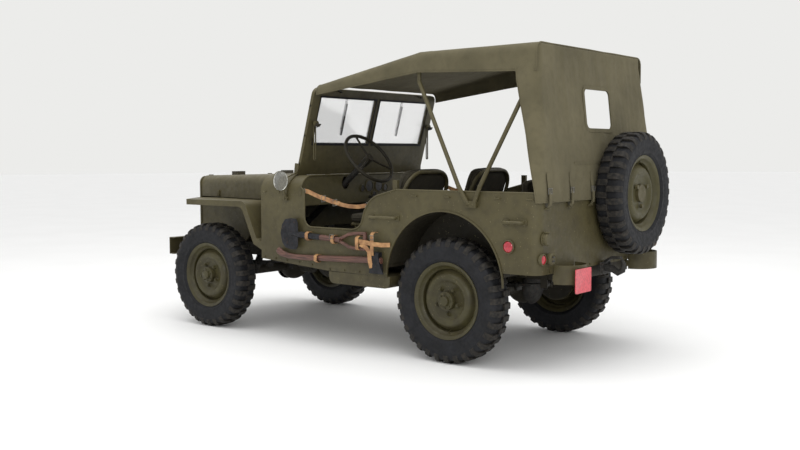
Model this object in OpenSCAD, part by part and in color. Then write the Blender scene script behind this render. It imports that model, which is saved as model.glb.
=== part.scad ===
// Light army 4x4 utility car with a canvas top.
// +X points forward, +Y to the left side, +Z up. The origin is on the ground, under the
// middle of the car's overall length. Inside the modules x = 0 is midway between the axles.

/* [Chassis] */
// Distance between the axles
wheelbase = 2032; // [1960:1:2100]
// Distance between the middle planes of the wheels of one axle
track = 1245; // [1235:1:1260]
// Bumper face ahead of the front axle
front_overhang = 534; // [520:1:600]
// Rear panel behind the rear axle
rear_overhang = 620; // [605:1:650]
// Half the width over the frame rails
frame_half = 371; // [360:1:373]

/* [Wheels] */
// Outer radius of a tyre
tyre_r = 358; // [345:1:362]
// Width of a tyre
tyre_w = 160; // [150:1:164]
// Radius of the rim under the tyre's beads
rim_r = 203; // [195:1:210]

/* [Body] */
// Half the width of the body tub
body_half = 725; // [720:1:750]
// Height of the tub's top edge
tub_top = 980; // [960:1:1000]
// Thickness of the body sheets with their flanges
sheet = 6; // [4:1:8]
// Height of the bonnet's and the cowl's top
cowl_top = 1055; // [1045:1:1065]
// Height of the flat front wings
wing_top = 880; // [870:1:890]
// Half the width over the front wings
wing_half = 715; // [700:1:740]

/* [Top] */
// Height of the canvas roof
roof_top = 1775; // [1740:1:1800]
// Half the width of the canvas roof
roof_half = 631; // [610:1:640]
// Thickness of the canvas with its seams
canvas_t = 8; // [6:1:12]

/* [Steering] */
// Radius of the steering wheel
steering_wheel_r = 195; // [180:1:200]

/* [Hidden] */
$fn = 48;

// Paints and materials
olive = "#57503a";
dark_olive = "#3a3626";
rim_olive = "#4d4a2c";
canvas_colour = "#6a6350";
rubber_colour = "#2b2c2f";
iron_colour = "#2c2e38";
wood_colour = "#6f4b42";
seat_colour = "#3d3524";
red_lens = "#b0122a";

// Main stations along the car
axle_f = wheelbase / 2;
axle_r = -wheelbase / 2;
bumper_x = axle_f + front_overhang;
rear_x = axle_r - rear_overhang;
spare_x = rear_x - 96;
x_mid = (bumper_x + spare_x - tyre_w / 2) / 2;
// The mirror reaches out further than the handles on the other side
mirror_r = 62;
handle_out = 36;
y_mid = mirror_r - (handle_out + 9) / 2;
axle_z = tyre_r;
wheel_y = track / 2;

// Frame and running gear
rail_w = 45;
rail_y = frame_half - rail_w;
rail_top = 525;
rail_low = 425;
kick_top = 569;
kick_low = 482;
floor_top = rail_top + 10;
cargo_top = kick_top + 10;
kingpin_y = 530;
tie_arm = 155;
tie_z = 308;
spindle_r = 22;
ball_r = 60;
spring_y = rail_y + rail_w / 2;
spring_half = 455;
diff_y = -160;
shaft_z = 450;
drum_edge = 556.5;

// Body openings
tub_low = 470;
sump_front = -150;
sump_rear = -638;
door_front = 42;
door_low = 735;
panel_low = 548;
firewall_x = 430;
cowl_rear = 70;
cowl_r = 105;
hood_rear = firewall_x + 5;
hood_front = 1424;
grille_x = 1425;
apron_y = 376;
arch_r = 398;
arch_x = axle_r - 6;
arch_z = 468;
house_y = 470;
house_front = arch_x + arch_r + 6;
house_rear = arch_x - arch_r - 6;
house_top = arch_z + arch_r + 12;
corner_r = 60;
box_side = body_half - corner_r - 1;
screen_x = 187;
screen_lean = 15.7;
screen_h = 571;
screen_half = 635;
front_bow_x = -774;
rear_bow_x = rear_x + 108;

// Steering column
column_y = 300;
column_lean = 38;
wheel_centre = [-130, column_y, 1160];
column_len = 965;

// A point at the given angle and radius round a centre, and a round stretch of an outline
function on_arc(c, r, a) = [c[0] + r * cos(a), c[1] + r * sin(a)];
function arc(c, r, a0, a1, n = 8) = [for (i = [0:n]) on_arc(c, r, a0 + (a1 - a0) * i / n)];

// Moves the children from the axle frame to the car's own frame
module place() translate([-x_mid, -y_mid, 0]) children();
// The children and their mirror image on the right side
module both_sides() {
    children();
    mirror([0, 1, 0]) children();
}
// A block between two opposite corners
module block(low, high) translate(low) cube(high - low);
// An outline in x and z, as thick as from y0 to y1
module side_plate(y0, y1) translate([0, y1, 0]) rotate([90, 0, 0]) linear_extrude(y1 - y0) children();
// An outline in y and z, as thick as from x0 to x1
module cross_plate(x0, x1) translate([x0, 0, 0]) rotate([90, 0, 90]) linear_extrude(x1 - x0) children();
// A round bar between two points
module bar(p, q, r) {
    d = q - p;
    translate(p) rotate([0, acos(d[2] / norm(d)), atan2(d[1], d[0])]) cylinder(h = norm(d), r = r);
}
// A bent tube through a list of points, with a welded ball at each bend
module tube_path(points, r) {
    for (i = [0:len(points) - 2]) bar(points[i], points[i + 1], r);
    for (i = [1:len(points) - 2]) translate(points[i]) sphere(r = r + 1);
}
// A cylinder along the car's width, from y0 to y1
module cross_bar(x, z, y0, y1, r) translate([x, y1, z]) rotate([90, 0, 0]) cylinder(h = y1 - y0, r = r);
// A cylinder along the car's length, from x0 to x1
module long_bar(y, z, x0, x1, r) translate([x0, y, z]) rotate([0, 90, 0]) cylinder(h = x1 - x0, r = r);
// A rectangle with rounded corners
module round_rect(low, high, r) {
    size = high - low;
    translate(low) {
        translate([r, 0]) square([size[0] - 2 * r, size[1]]);
        translate([0, r]) square([size[0], size[1] - 2 * r]);
        for (x = [r, size[0] - r], y = [r, size[1] - r]) translate([x, y]) circle(r = r);
    }
}

// ---- Chassis ----
module rail_outline() polygon([
    [rear_x + 20, kick_low], [axle_r + spring_half + 30, kick_low], [axle_r + spring_half + 120, rail_low],
    [axle_f - spring_half - 120, rail_low], [axle_f - spring_half - 30, kick_low], [bumper_x - 50, kick_low],
    [bumper_x - 50, kick_top], [axle_f - 240, kick_top], [axle_f - 400, rail_top],
    [axle_r + 370, rail_top], [axle_r + 220, kick_top], [rear_x + 20, kick_top]]);

module chassis_frame() color(dark_olive) place() {
    both_sides() {
        side_plate(rail_y, frame_half) rail_outline();
        for (x = [axle_f, axle_r], end = [-1, 1], y = [rail_y - 6, frame_half])
            block([x + end * spring_half - 22, y, 436], [x + end * spring_half + 22, y + 6, kick_low + 30]);
    }
    for (x = [rear_x + 20, axle_f - 56, bumper_x - 210, bumper_x - 130])
        block([x, -rail_y - 1, kick_low], [x + 40, rail_y + 1, kick_low + 16]);
    block([rear_x + 20, -rail_y - 1, kick_low], [rear_x + 40, rail_y + 1, kick_top]);
    block([axle_r + 370, -rail_y - 1, kick_low], [axle_r + 420, rail_y + 1, rail_top]);
    block([-110, -rail_y - 1, 378], [-30, rail_y + 1, 394]);
    both_sides() block([-110, rail_y - 15, 378], [-30, rail_y + 1, rail_top]);
}

module front_bumper() color(olive) place() difference() {
    block([bumper_x - 50, -585, kick_low - 17], [bumper_x, 585, kick_top + 18]);
    block([bumper_x - 51, -586, kick_low - 11], [bumper_x - 6, -frame_half - 2, kick_top + 12]);
    block([bumper_x - 51, frame_half + 2, kick_low - 11], [bumper_x - 6, 586, kick_top + 12]);
    block([bumper_x - 51, -rail_y + 2, kick_low - 11], [bumper_x - 6, rail_y - 2, kick_top + 12]);
    for (y = [-450, 450], z = [500, 550]) long_bar(y, z, bumper_x - 20, bumper_x + 1, 8);
}

// The differential with its pinion housing; dir points to the gearbox
module differential(x, dir) {
    translate([x, diff_y, axle_z]) sphere(r = 110);
    long_bar(diff_y, axle_z, min(x, x + dir * 205), max(x, x + dir * 205), 52);
}
module spring_seats(x) both_sides() block([x - 45, rail_y, axle_z], [x + 45, frame_half, axle_z + 44]);

// Puts a turned shape's Z axis on the front axle's line, outwards from the left kingpin
module on_kingpin() translate([axle_f, kingpin_y, axle_z]) rotate([-90, 0, 0]) children();
module front_axle() color(dark_olive) place() {
    cross_bar(axle_f, axle_z, -kingpin_y + 20, kingpin_y - 20, 38);
    both_sides() on_kingpin() rotate_extrude()
        polygon(concat([[0, -46]], arc([0, 0], ball_r, -50, 20, 14), [[0, ball_r * sin(20)]]));
    differential(axle_f, -1);
    spring_seats(axle_f);
}

module rear_axle() color(dark_olive) place() {
    cross_bar(axle_r, axle_z, -drum_edge + 6, drum_edge - 6, 38);
    both_sides() {
        cross_bar(axle_r, axle_z, drum_edge - 8, drum_edge - 1, 134);
        cross_bar(axle_r, axle_z, drum_edge - 8, 596, 50);
        cross_bar(axle_r, axle_z, 590, 680, spindle_r);
    }
    differential(axle_r, 1);
    spring_seats(axle_r);
}

// One leaf spring pack with its two eyes, the leaves shorter towards the bottom
module leaf_spring(x) {
    leaf = 7;
    for (i = [0:4]) {
        half = spring_half - 80 * (4 - i) - 6;
        low = axle_z + 44.2 + leaf * i;
        steps = [-6:6];
        side_plate(spring_y - 22, spring_y + 22) polygon(concat(
            [for (s = steps) [x + half * s / 6, low + pow(half * s / 6, 2) / 9200]],
            [for (s = steps) [x - half * s / 6, low + leaf + 0.2 + pow(half * s / 6, 2) / 9200]]));
    }
    for (end = [-1, 1])
        cross_bar(x + end * spring_half, axle_z + 99, rail_y + 0.5, frame_half - 0.5, 17);
}
module leaf_springs() color(iron_colour) place() both_sides() for (x = [axle_f, axle_r]) leaf_spring(x);

module engine_block() color(iron_colour) place()
    block([480, -150, kick_low + 16.2], [axle_f - 16, 150, 850]);

module gearbox() color(iron_colour) place() {
    long_bar(0, 565, 330, 479.8, 100);
    block([40, -80, 480], [331, 80, 600]);
    block([-160, -225, 394.2], [40, 80, 518]);
}

module propeller_shafts() color(iron_colour) place() {
    bar([44, diff_y, shaft_z], [axle_f - 210, diff_y, axle_z + 1], 28);
    bar([-164, diff_y, shaft_z], [axle_r + 210, diff_y, axle_z + 1], 28);
}

module exhaust() color(iron_colour) place() {
    long_bar(-470, 430, -560, -160, 62);
    tube_path([[-170, -470, 430], [330, -470, 400], [430, -390, 396], [500, -240, 396], [640, -205, 470],
        [640, -205, 600], [640, -150.3, 600]], 22);
    tube_path([[-550, -470, 430], [-610, -470, 436], [-640, -520, 462], [-640, -580, 490]], 20);
}

module radiator() color(iron_colour) place() {
    block([1330, -205, kick_low + 90], [1390, 205, 900]);
    block([1345, -205, kick_low + 16.2], [1375, -165, kick_low + 91]);
    block([1345, 165, kick_low + 16.2], [1375, 205, kick_low + 91]);
}

module fuel_tank() color(olive) place() {
    side_plate(400, body_half - sheet) polygon(concat([[sump_front - 8, tub_low], [sump_rear, tub_low]],
        arc([sump_rear + 40, 438], 40, 180, 270), arc([sump_front - 48, 438], 40, 270, 360)));
    block([-560, 174, floor_top], [-170, 496, 700]);
}

// ---- Body ----
// Half of the raised tunnel over the gearbox, seen from the side
module tunnel_outline(t) polygon([[-200 + t, floor_top - 10], [firewall_x, floor_top - 10],
    [firewall_x, 690 - t], [-200 + t, 600 - t]]);

module floor() color(olive) place() {
    inner = body_half - sheet;
    difference() {
        block([house_front, -inner, floor_top - 10], [firewall_x, inner, floor_top]);
        block([-194, -125, floor_top - 11], [firewall_x + 1, 125, floor_top + 1]);
    }
    difference() {
        side_plate(-131, 131) tunnel_outline(0);
        side_plate(-125, 125) tunnel_outline(6);
    }
    block([rear_x + sheet, -house_y, cargo_top - 8], [house_front, house_y, cargo_top]);
    block([house_front - 8, -house_y, floor_top - 10], [house_front, house_y, cargo_top]);
    both_sides() block([rear_x + sheet, house_y, cargo_top - 8], [house_rear, box_side, cargo_top]);
}

// The outline of a tub side: sill, door cut with its curved rear slope, rear wheel arch
module tub_side_outline() difference() {
    polygon(concat(
        [[rear_x + corner_r, panel_low], [house_rear, panel_low], [sump_rear, tub_low], [sump_front, tub_low + 4], [firewall_x, 515]],
        [[firewall_x, 935], [cowl_rear, 935], [cowl_rear, tub_top], [door_front, 962]],
        arc([door_front - 62, door_low + 62], 62, 0, -90, 8),
        arc([-350, door_low + 90], 90, 270, 205, 6),
        [[-452, 850]],
        arc([-600, 800], 152, 35, 80, 6),
        [[-690, tub_top], [rear_x + corner_r, tub_top]]));
    translate([arch_x, arch_z]) circle(r = arch_r, $fn = 96);
    translate([arch_x - arch_r, arch_z - 100]) square([2 * arch_r, 101]);
}
module tub_side() {
    side_plate(body_half - sheet, body_half) tub_side_outline();
    // rolled edge along the top
    long_bar(body_half - 4, tub_top, rear_x + corner_r, -690, 6);
    // bracket that carries the folded top
    block([-697, body_half - 26, tub_top - 40], [-663, body_half - sheet, tub_top + 58]);
}
module body_sides() color(olive) place() both_sides() tub_side();

module rear_panel() color(olive) place() {
    block([rear_x, -body_half + corner_r, panel_low], [rear_x + sheet, body_half - corner_r, tub_top]);
    cross_bar(rear_x + 4, tub_top, -body_half + corner_r, body_half - corner_r, 6);
    both_sides() translate([rear_x + corner_r, body_half - corner_r, 0]) {
        translate([0, 0, panel_low]) rotate([0, 0, 90]) rotate_extrude(angle = 90)
            translate([corner_r - sheet, 0]) square([sheet, tub_top - panel_low]);
        translate([0, 0, tub_top]) rotate([0, 0, 90]) rotate_extrude(angle = 90)
            translate([corner_r - 4, 0]) circle(r = 6);
    }
}

module house_outline(t) {
    translate([arch_x, arch_z]) circle(r = arch_r + t, $fn = 96);
    translate([arch_x - arch_r - t, floor_top - 10]) square([2 * (arch_r + t), 20]);
    translate([arch_x - arch_r - t, arch_z - 10]) square([2 * (arch_r + t), 90]);
}
module wheel_houses() color(olive) place() both_sides() {
    inner = body_half - sheet;
    difference() {
        side_plate(house_y, inner) intersection() {
            house_outline(6);
            translate([house_rear, floor_top - 10]) square([2 * arch_r + 12, 500]);
        }
        side_plate(house_y + sheet, inner + 1) house_outline(0);
    }
    // tool box in the rear corner, open at the top
    difference() {
        block([rear_x + sheet, house_y, cargo_top], [house_rear + 1, box_side, house_top - 10]);
        block([rear_x + 2 * sheet, house_y + sheet, cargo_top - 1], [house_rear - sheet, box_side - sheet, house_top]);
    }
}
// A tool box lid with the barrel of its hinge along the front edge
lid_pin = 4;
module toolbox_lid() {
    hinge_x = house_rear - 1 - lid_pin;
    block([rear_x + sheet + 6, house_y, house_top - 9.5], [hinge_x, box_side, house_top - 4]);
    cross_bar(hinge_x, house_top - 9.7 + lid_pin, house_y, box_side, lid_pin);
}
module toolbox_lid_left() color(olive) place() toolbox_lid();
module toolbox_lid_right() color(olive) place() mirror([0, 1, 0]) toolbox_lid();

// The steering column's way through the cowl and the dash
module column_way(r) {
    dir = [cos(column_lean), 0, -sin(column_lean)];
    bar(wheel_centre + 54.3 * dir, wheel_centre + column_len * dir, r);
}
module cowl_outline(t) {
    round_rect([-body_half + t, 700], [body_half - t, cowl_top - t], cowl_r - t);
}
module cowl() color(olive) place() difference() {
    union() {
        difference() {
            cross_plate(cowl_rear + 0.2, firewall_x) cowl_outline(0);
            cross_plate(cowl_rear, firewall_x + 1) cowl_outline(sheet);
            block([cowl_rear - 1, -body_half - 1, 600], [firewall_x + 2, body_half + 1, 935.2]);
        }
        difference() {
            block([firewall_x - sheet, -body_half + sheet, floor_top], [firewall_x, body_half - sheet, 940]);
            block([firewall_x - sheet - 1, -132, floor_top - 1], [firewall_x + 1, 132, 691]);
        }
        cross_plate(firewall_x - sheet, firewall_x) intersection() {
            cowl_outline(sheet / 2);
            translate([-body_half, 939]) square([2 * body_half, 200]);
        }
    }
    column_way(30);
}

module dash_panel() color(olive) place() difference() {
    cross_plate(cowl_rear + 4, cowl_rear + 10) intersection() {
        cowl_outline(sheet);
        translate([-body_half, 865]) square([2 * body_half, 200]);
    }
    column_way(34);
}

// The bonnet's top slopes down a little to the front
hood_drop = 22;
hood_r = 62;
function hood_top_z(x) = cowl_top + 2 - hood_drop * (x - hood_rear) / (hood_front - hood_rear);
// Cross section of the bonnet: a flat top with round shoulders
module hood_outline(half, top, t) intersection() {
    union() {
        translate([-half + t, 0]) square([2 * (half - t), top - t - hood_r]);
        translate([-half + hood_r, 0]) square([2 * (half - hood_r), top - t]);
        for (side = [-1, 1]) translate([side * (half - hood_r), top - hood_r]) circle(r = hood_r - t);
    }
    translate([-half, wing_top + 5]) square([2 * half, top]);
}
module hood_solid(t, ends) hull() {
    cross_plate(hood_rear - ends, hood_rear - ends + 1) hood_outline(560, hood_top_z(hood_rear), t);
    cross_plate(hood_front + ends - 1, hood_front + ends) hood_outline(apron_y + 4, hood_top_z(hood_front), t);
}
module hood() color(olive) place() {
    difference() {
        hood_solid(0, 0);
        hood_solid(5, 2);
        block([hood_rear - 5, -700, wing_top], [hood_front + 5, 700, wing_top + 5.5]);
    }
    both_sides() cross_bar(hood_rear + 6, cowl_top - 4, 60, 420, 5);
}
module hood_blocks() color(wood_colour) place() both_sides()
    side_plate(205, 295) polygon([[1140, hood_top_z(1140) + 0.1], [1185, hood_top_z(1185) + 0.1],
        [1185, cowl_top + 12], [1140, cowl_top + 12]]);

module grille() color(olive) place() difference() {
    cross_plate(grille_x, grille_x + 12) round_rect([-apron_y - 9, kick_top + 0.2], [apron_y + 9, cowl_top - 24], 50);
    for (i = [-4:4]) cross_plate(grille_x - 1, grille_x + 13)
        round_rect([i * 46 - 14, 640], [i * 46 + 14, abs(i) > 2 ? 700 : 900], 13);
    both_sides() long_bar(292, 800, grille_x - 1, grille_x + 13, 76);
}
module headlights() color("#c8c8c0") place() both_sides() {
    long_bar(292, 800, grille_x - 60, grille_x - 0.5, 79);
    long_bar(292, 800, grille_x - 1, grille_x + 8, 75);
}

// ---- Front wings ----
// The wing's path from the front edge over the flat top and down to the sill
wing_path = concat([[grille_x - 2, wing_top - 4]], [[1180, wing_top]],
    arc([640, wing_top - 60], 60, 90, 155, 6), [[firewall_x + 60, 640]],
    arc([firewall_x + 40, 560], 80, 150, 205, 4), [[firewall_x - 30, 472]]);
module wing_band(t) polygon(concat(wing_path,
    [for (i = [len(wing_path) - 1:-1:0]) wing_path[i] + [t * 0.75, -t]]));
module fender() {
    // top and rear slope
    intersection() {
        side_plate(apron_y, wing_half) wing_band(5);
        linear_extrude(1000) polygon([[firewall_x + 0.5, apron_y - 1], [grille_x - 2, apron_y - 1],
            [grille_x - 2, 420], [1235, 660], [1190, wing_half + 1], [firewall_x + 0.5, wing_half + 1]]);
    }
    // turned-down outer edge
    intersection() {
        side_plate(wing_half - 6, wing_half) wing_band(38);
        block([firewall_x + 1, 0, 400], [1190, 900, 1000]);
    }
    // apron beside the engine
    side_plate(apron_y, apron_y + 3) polygon([[firewall_x + 0.5, kick_top + 60], [900, kick_top + 60],
        [960, kick_top + 1], [grille_x - 0.5, kick_top + 1], [grille_x - 0.5, wing_top - 4], [firewall_x + 0.5, wing_top - 4]]);
}
module front_fenders() color(olive) place() both_sides() fender();

// ---- Windscreen ----
module screen_place() place() translate([screen_x, 0, cowl_top]) rotate([0, -screen_lean, 0]) children();
pane_low = 207;
pane_high = 518;
pane_half = 567;
module pane_outline() for (side = [-1, 1])
    translate([side > 0 ? 18 : -pane_half, pane_low]) square([pane_half - 18, pane_high - pane_low]);

module windscreen_frame() color(olive) screen_place() {
    difference() {
        cross_plate(-11, 11) {
            round_rect([-screen_half, 5], [screen_half, screen_h], 45);
            translate([-screen_half, 5]) square([2 * screen_half, 60]);
        }
        cross_plate(-12, 12) pane_outline();
        cross_plate(4, 12) round_rect([-580, 30], [580, 180], 12);
    }
    both_sides() for (y = [360, 600]) block([-9, y - 22, 2.8], [9, y + 22, 6]);
}
module windscreen_glass() color("#a0b8b8", 0.4) screen_place() cross_plate(-3, 3) pane_outline();
// Slotted arms that hold the screen, hanging from their knobs on its inner face
arm_y = 592;
knob_h = 340;
arm_top = [screen_x - sin(screen_lean) * knob_h - 19, cowl_top + cos(screen_lean) * knob_h];
module windscreen_arms() color(olive) place() both_sides() {
    difference() {
        cross_plate(arm_top[0] - 6, arm_top[0] - 1)
            round_rect([arm_y - 12, arm_top[1] - 235], [arm_y + 12, arm_top[1] + 12], 11);
        cross_plate(arm_top[0] - 7, arm_top[0])
            round_rect([arm_y - 5, arm_top[1] - 225], [arm_y + 5, arm_top[1] - 24], 4.5);
    }
    long_bar(arm_y, arm_top[1], arm_top[0] - 26, arm_top[0] + 4.6, 9);
    long_bar(arm_y, arm_top[1], arm_top[0] - 26, arm_top[0] - 8, 17);
}
module wipers() color(iron_colour) screen_place() {
    for (y = [-290, 290]) {
        cross_bar_x = 11.2;
        block([cross_bar_x, y - 14, pane_high + 6], [cross_bar_x + 16, y + 14, pane_high + 34]);
        block([cross_bar_x + 5, y - 4, pane_low + 90], [cross_bar_x + 11, y + 4, pane_high + 8]);
        block([3.2, y - 5, pane_low + 60], [cross_bar_x + 6, y + 5, pane_high - 40]);
    }
    cross_bar(20, pane_high + 26, -290, 290, 4);
}

// ---- Controls ----
module steering_box() color(iron_colour) place() {
    column_way(20);
    block([590, 262, rail_low + 80], [690, rail_y - 0.3, 600]);
    cross_bar(640, 530, 238, 263, 14);
    side_plate(238, 250) polygon(concat(arc([640, 530], 24, 0, 180), arc([640, 400], 15, 180, 360)));
}
module steering_wheel() color("#4a4632") place()
    translate(wheel_centre) rotate([0, 90 + column_lean, 0]) rotate([0, 0, 90]) {
        rotate_extrude($fn = 96) translate([steering_wheel_r - 11, 0]) circle(r = 11);
        translate([0, 0, -14]) cylinder(h = 68, r = 26);
        for (i = [0:2]) rotate([0, 0, 90 + 120 * i]) rotate([0, 90, 0])
            translate([0, 0, 20]) cylinder(h = steering_wheel_r - 30, r = 7);
    }
function tunnel_z(x) = 600 + 90 * (x + 200) / (firewall_x + 200);
// A lever on the tunnel with its boot; the knob is at the point top
module lever(x, y, top, r, knob) {
    side_plate(y - 22, y + 22) polygon([[x - 24, tunnel_z(x - 24) + 0.1], [x + 24, tunnel_z(x + 24) + 0.1],
        [x + 11, tunnel_z(x) + 26], [x - 11, tunnel_z(x) + 26]]);
    bar([x, y, tunnel_z(x) + 12], top, r);
    translate(top) sphere(r = knob);
}
module levers_and_pedals() color(iron_colour) place() {
    for (y = [210, 368]) {
        block([348, y - 12, floor_top], [376, y + 12, floor_top + 14]);
        bar([362, y, floor_top + 8], [300, y, 660], 8);
        block([286, y - 32, 640], [298, y + 32, 705]);
    }
    lever(60, 0, [-40, 20, 885], 9, 20);
    for (y = [-50, -98]) lever(10, y, [-50, y, 804], 7, 15);
    long_bar(60, 900, cowl_rear - 58, cowl_rear + 4, 8);
    cross_bar(cowl_rear - 56, 900, 25, 95, 8);
}

// ---- Seats ----
// One seat's tube frame: one bent tube, a bar across the front and four legs on the floor
seat_z = 760;
tube_r = 12;
module seat_tube_frame(y) {
    low = seat_z - tube_r;
    left = [[-172, y - 175, low], [-540, y - 175, low], [-610, y - 175, 1070]];
    right = [for (i = [2:-1:0]) left[i] + [0, 350, 0]];
    tube_path(concat(left, right), tube_r);
    cross_bar(-185, low, y - 172, y + 172, 9);
    for (x = [-200, -520], side = [-175, 175]) bar([x, y + side, floor_top], [x, y + side, low], 10);
}
driver_y = 335;
mate_y = -380;
module front_seat_frames() color(olive) place() for (y = [driver_y, mate_y]) seat_tube_frame(y);
module rear_seat_frame() color(olive) place() for (x = [-1060, -1330]) {
    cross_bar(x, seat_z - tube_r, -412, 412, tube_r);
    for (y = [-400, 400]) bar([x, y, cargo_top], [x, y, seat_z - tube_r], 10);
}
module cushion(low, high, r) translate(low) linear_extrude(high[2] - low[2])
    round_rect([0, 0], [high[0] - low[0], high[1] - low[1]], r);
module seat_cushions() color(seat_colour) place() {
    for (y = [driver_y, mate_y]) {
        cushion([-525, y - 215, seat_z + 0.5], [-160, y + 215, seat_z + 65], 40);
        translate([-544.2, y, seat_z + 70]) rotate([0, -atan(70 / 322), 0]) translate([0, -205, 0])
            cushion([0, 0, 0], [55, 410, 270], 20);
    }
    cushion([-1350, -440, 760.5], [-1000, 440, 830], 40);
    cushion([-1400, -440, 830.5], [-1335, 440, 1040], 20);
}

// ---- Canvas top ----
canvas_low = 928;
roof_rear_x = rear_x + 70;
roof_front = [screen_x - sin(screen_lean) * screen_h - 14, cowl_top + cos(screen_lean) * screen_h + 16];
// A cross section of the roof at x, as a thin slice, with its sides turned down by drop
module roof_slice(x, top, drop, t, grow = 0) cross_plate(x - 1, x + 1) {
    r = 48 - t;
    half = roof_half - t;
    translate([-half, top - drop - grow]) square([2 * half, drop + grow - t - r]);
    translate([-half + r, top - drop - grow]) square([2 * (half - r), drop + grow - t]);
    for (side = [-1, 1]) translate([side * (half - r), top - t - r]) circle(r = r, $fn = 32);
}
// The roof's outer body for t = 0; the same reduced by t is what it encloses
module roof_body(t, grow) {
    hull() {
        roof_slice(roof_front[0] + grow, roof_front[1], 62, t, grow);
        roof_slice(front_bow_x, roof_top - 3, 116, t, grow);
    }
    hull() {
        roof_slice(front_bow_x, roof_top - 3, 116, t, grow);
        roof_slice(roof_rear_x + (t > 0 ? t + 1 : 0), roof_top, 150, t, grow);
    }
}
// The curtain's outline from above, as a slice round the back of the car at a height
module curtain_slice(z, back, half, r, t) translate([0, 0, z])
    linear_extrude(1) round_rect([back + t, -half + t], [back + 420, half - t], r);
module curtain_body(t, grow) {
    low_back = rear_x - 12;
    low_half = body_half + 12;
    hull() {
        curtain_slice(roof_top - 60 + grow, roof_rear_x - 1, roof_half, 48, t);
        curtain_slice(tub_top + 8, low_back, low_half, corner_r + 10, t);
    }
    translate([0, 0, canvas_low - grow]) linear_extrude(tub_top + 9 - canvas_low + grow)
        round_rect([low_back + t, -low_half + t], [low_back + 400, low_half - t], corner_r + 10);
}
module canvas_top() color(canvas_colour) place() difference() {
    union() {
        roof_body(0, 0);
        intersection() {
            curtain_body(0, 0);
            // the curtain's front edges
            side_plate(-900, 900) polygon([[rear_x - 30, canvas_low], [rear_x + 14, canvas_low], [rear_x + 20, 1000],
                [rear_x + 99, 1307], [rear_x + 190, 1624], [rear_x + 190, roof_top], [rear_x - 30, roof_top]]);
        }
    }
    roof_body(canvas_t, 12);
    curtain_body(canvas_t - 1, 12);
    cross_plate(rear_x - 100, rear_x + 200) round_rect([-162, 1318], [162, 1558], 40);
}

bow_pivot = [-1225, body_half + 16, 908];
bow_r = 12;
bow_clear = 1010;
// A bow: up past the tub's edge, leaning in under the canvas, over, and down the other side
module bow(x, top) {
    knee_z = 1600;
    knee_y = roof_half - canvas_t - bow_r - 5;
    foot = bow_pivot + [x > bow_pivot[0] ? 17 : -17, 0, 0];
    foot_x = foot[0] + (x - foot[0]) * (bow_clear - foot[2]) / (knee_z - foot[2]);
    left = [foot, [foot_x, foot[1], bow_clear], [x, knee_y, knee_z], [x, knee_y, top - 42], [x, knee_y - 38, top]];
    right = [for (i = [len(left) - 1:-1:0]) [left[i][0], -left[i][1], left[i][2]]];
    tube_path(concat(left, right), bow_r);
}
module top_bows() color(olive) place() {
    bow(front_bow_x, roof_top - 3 - canvas_t - bow_r - 1.4);
    bow(rear_bow_x, roof_top - canvas_t - bow_r - 1.4);
    both_sides() block([bow_pivot[0] - 36, body_half + 0.2, bow_pivot[2] - 14],
        [bow_pivot[0] + 36, body_half + 22, bow_pivot[2] + 22]);
}

// ---- Wheels ----
// One tyre; its axle is Z and its middle is at the origin
module tyre() rotate_extrude($fn = 96) {
    edge = tyre_w / 2;
    outline = [[rim_r + 0.3, 56.5], [rim_r + 18.5, 56.5], [rim_r + 22, 66], [rim_r + 45, edge - 6],
        [rim_r + 75, edge], [tyre_r - 50, edge - 1], [tyre_r - 25, edge - 7], [tyre_r - 8, edge - 17],
        [tyre_r, edge - 32]];
    polygon(concat(outline, [for (i = [len(outline) - 1:-1:0]) [outline[i][0], -outline[i][1]]]));
}
// One rim with its disc, hub and brake drum; the outer side is +Z
module road_wheel() {
    drum_in = drum_edge - wheel_y;
    rotate_extrude($fn = 96) {
        translate([rim_r - 8, -57]) square([8, 114]);
        for (z = [-64, 57]) translate([rim_r - 8, z]) square([26, 7]);
        polygon([[rim_r - 4, 2], [rim_r - 4, 12], [150, 42], [55, 42], [55, 34], [145, 34]]);
        translate([95, drum_in]) square([40, 54]);
        translate([60, drum_in + 48]) square([40, 8]);
        translate([spindle_r + 0.05, -14]) square([40, 76]);
        translate([0, 61]) square([spindle_r + 40, 7]);
        translate([0, 67]) square([34, 18]);
    }
    for (i = [0:4]) rotate([0, 0, 72 * i]) translate([75, 0, 41]) cylinder(h = 14, r = 11);
}
// Carries a wheel's parts to one corner of the car
module corner(x, side) place() translate([x, side * wheel_y, axle_z]) rotate([-90 * side, 0, 0]) children();
module tyre_front_left() color(rubber_colour) corner(axle_f, 1) tyre();
module tyre_front_right() color(rubber_colour) corner(axle_f, -1) tyre();
module tyre_rear_left() color(rubber_colour) corner(axle_r, 1) tyre();
module tyre_rear_right() color(rubber_colour) corner(axle_r, -1) tyre();
module wheel_front_left() color(rim_olive) corner(axle_f, 1) road_wheel();
module wheel_front_right() color(rim_olive) corner(axle_f, -1) road_wheel();
module wheel_rear_left() color(rim_olive) corner(axle_r, 1) road_wheel();
module wheel_rear_right() color(rim_olive) corner(axle_r, -1) road_wheel();

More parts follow.
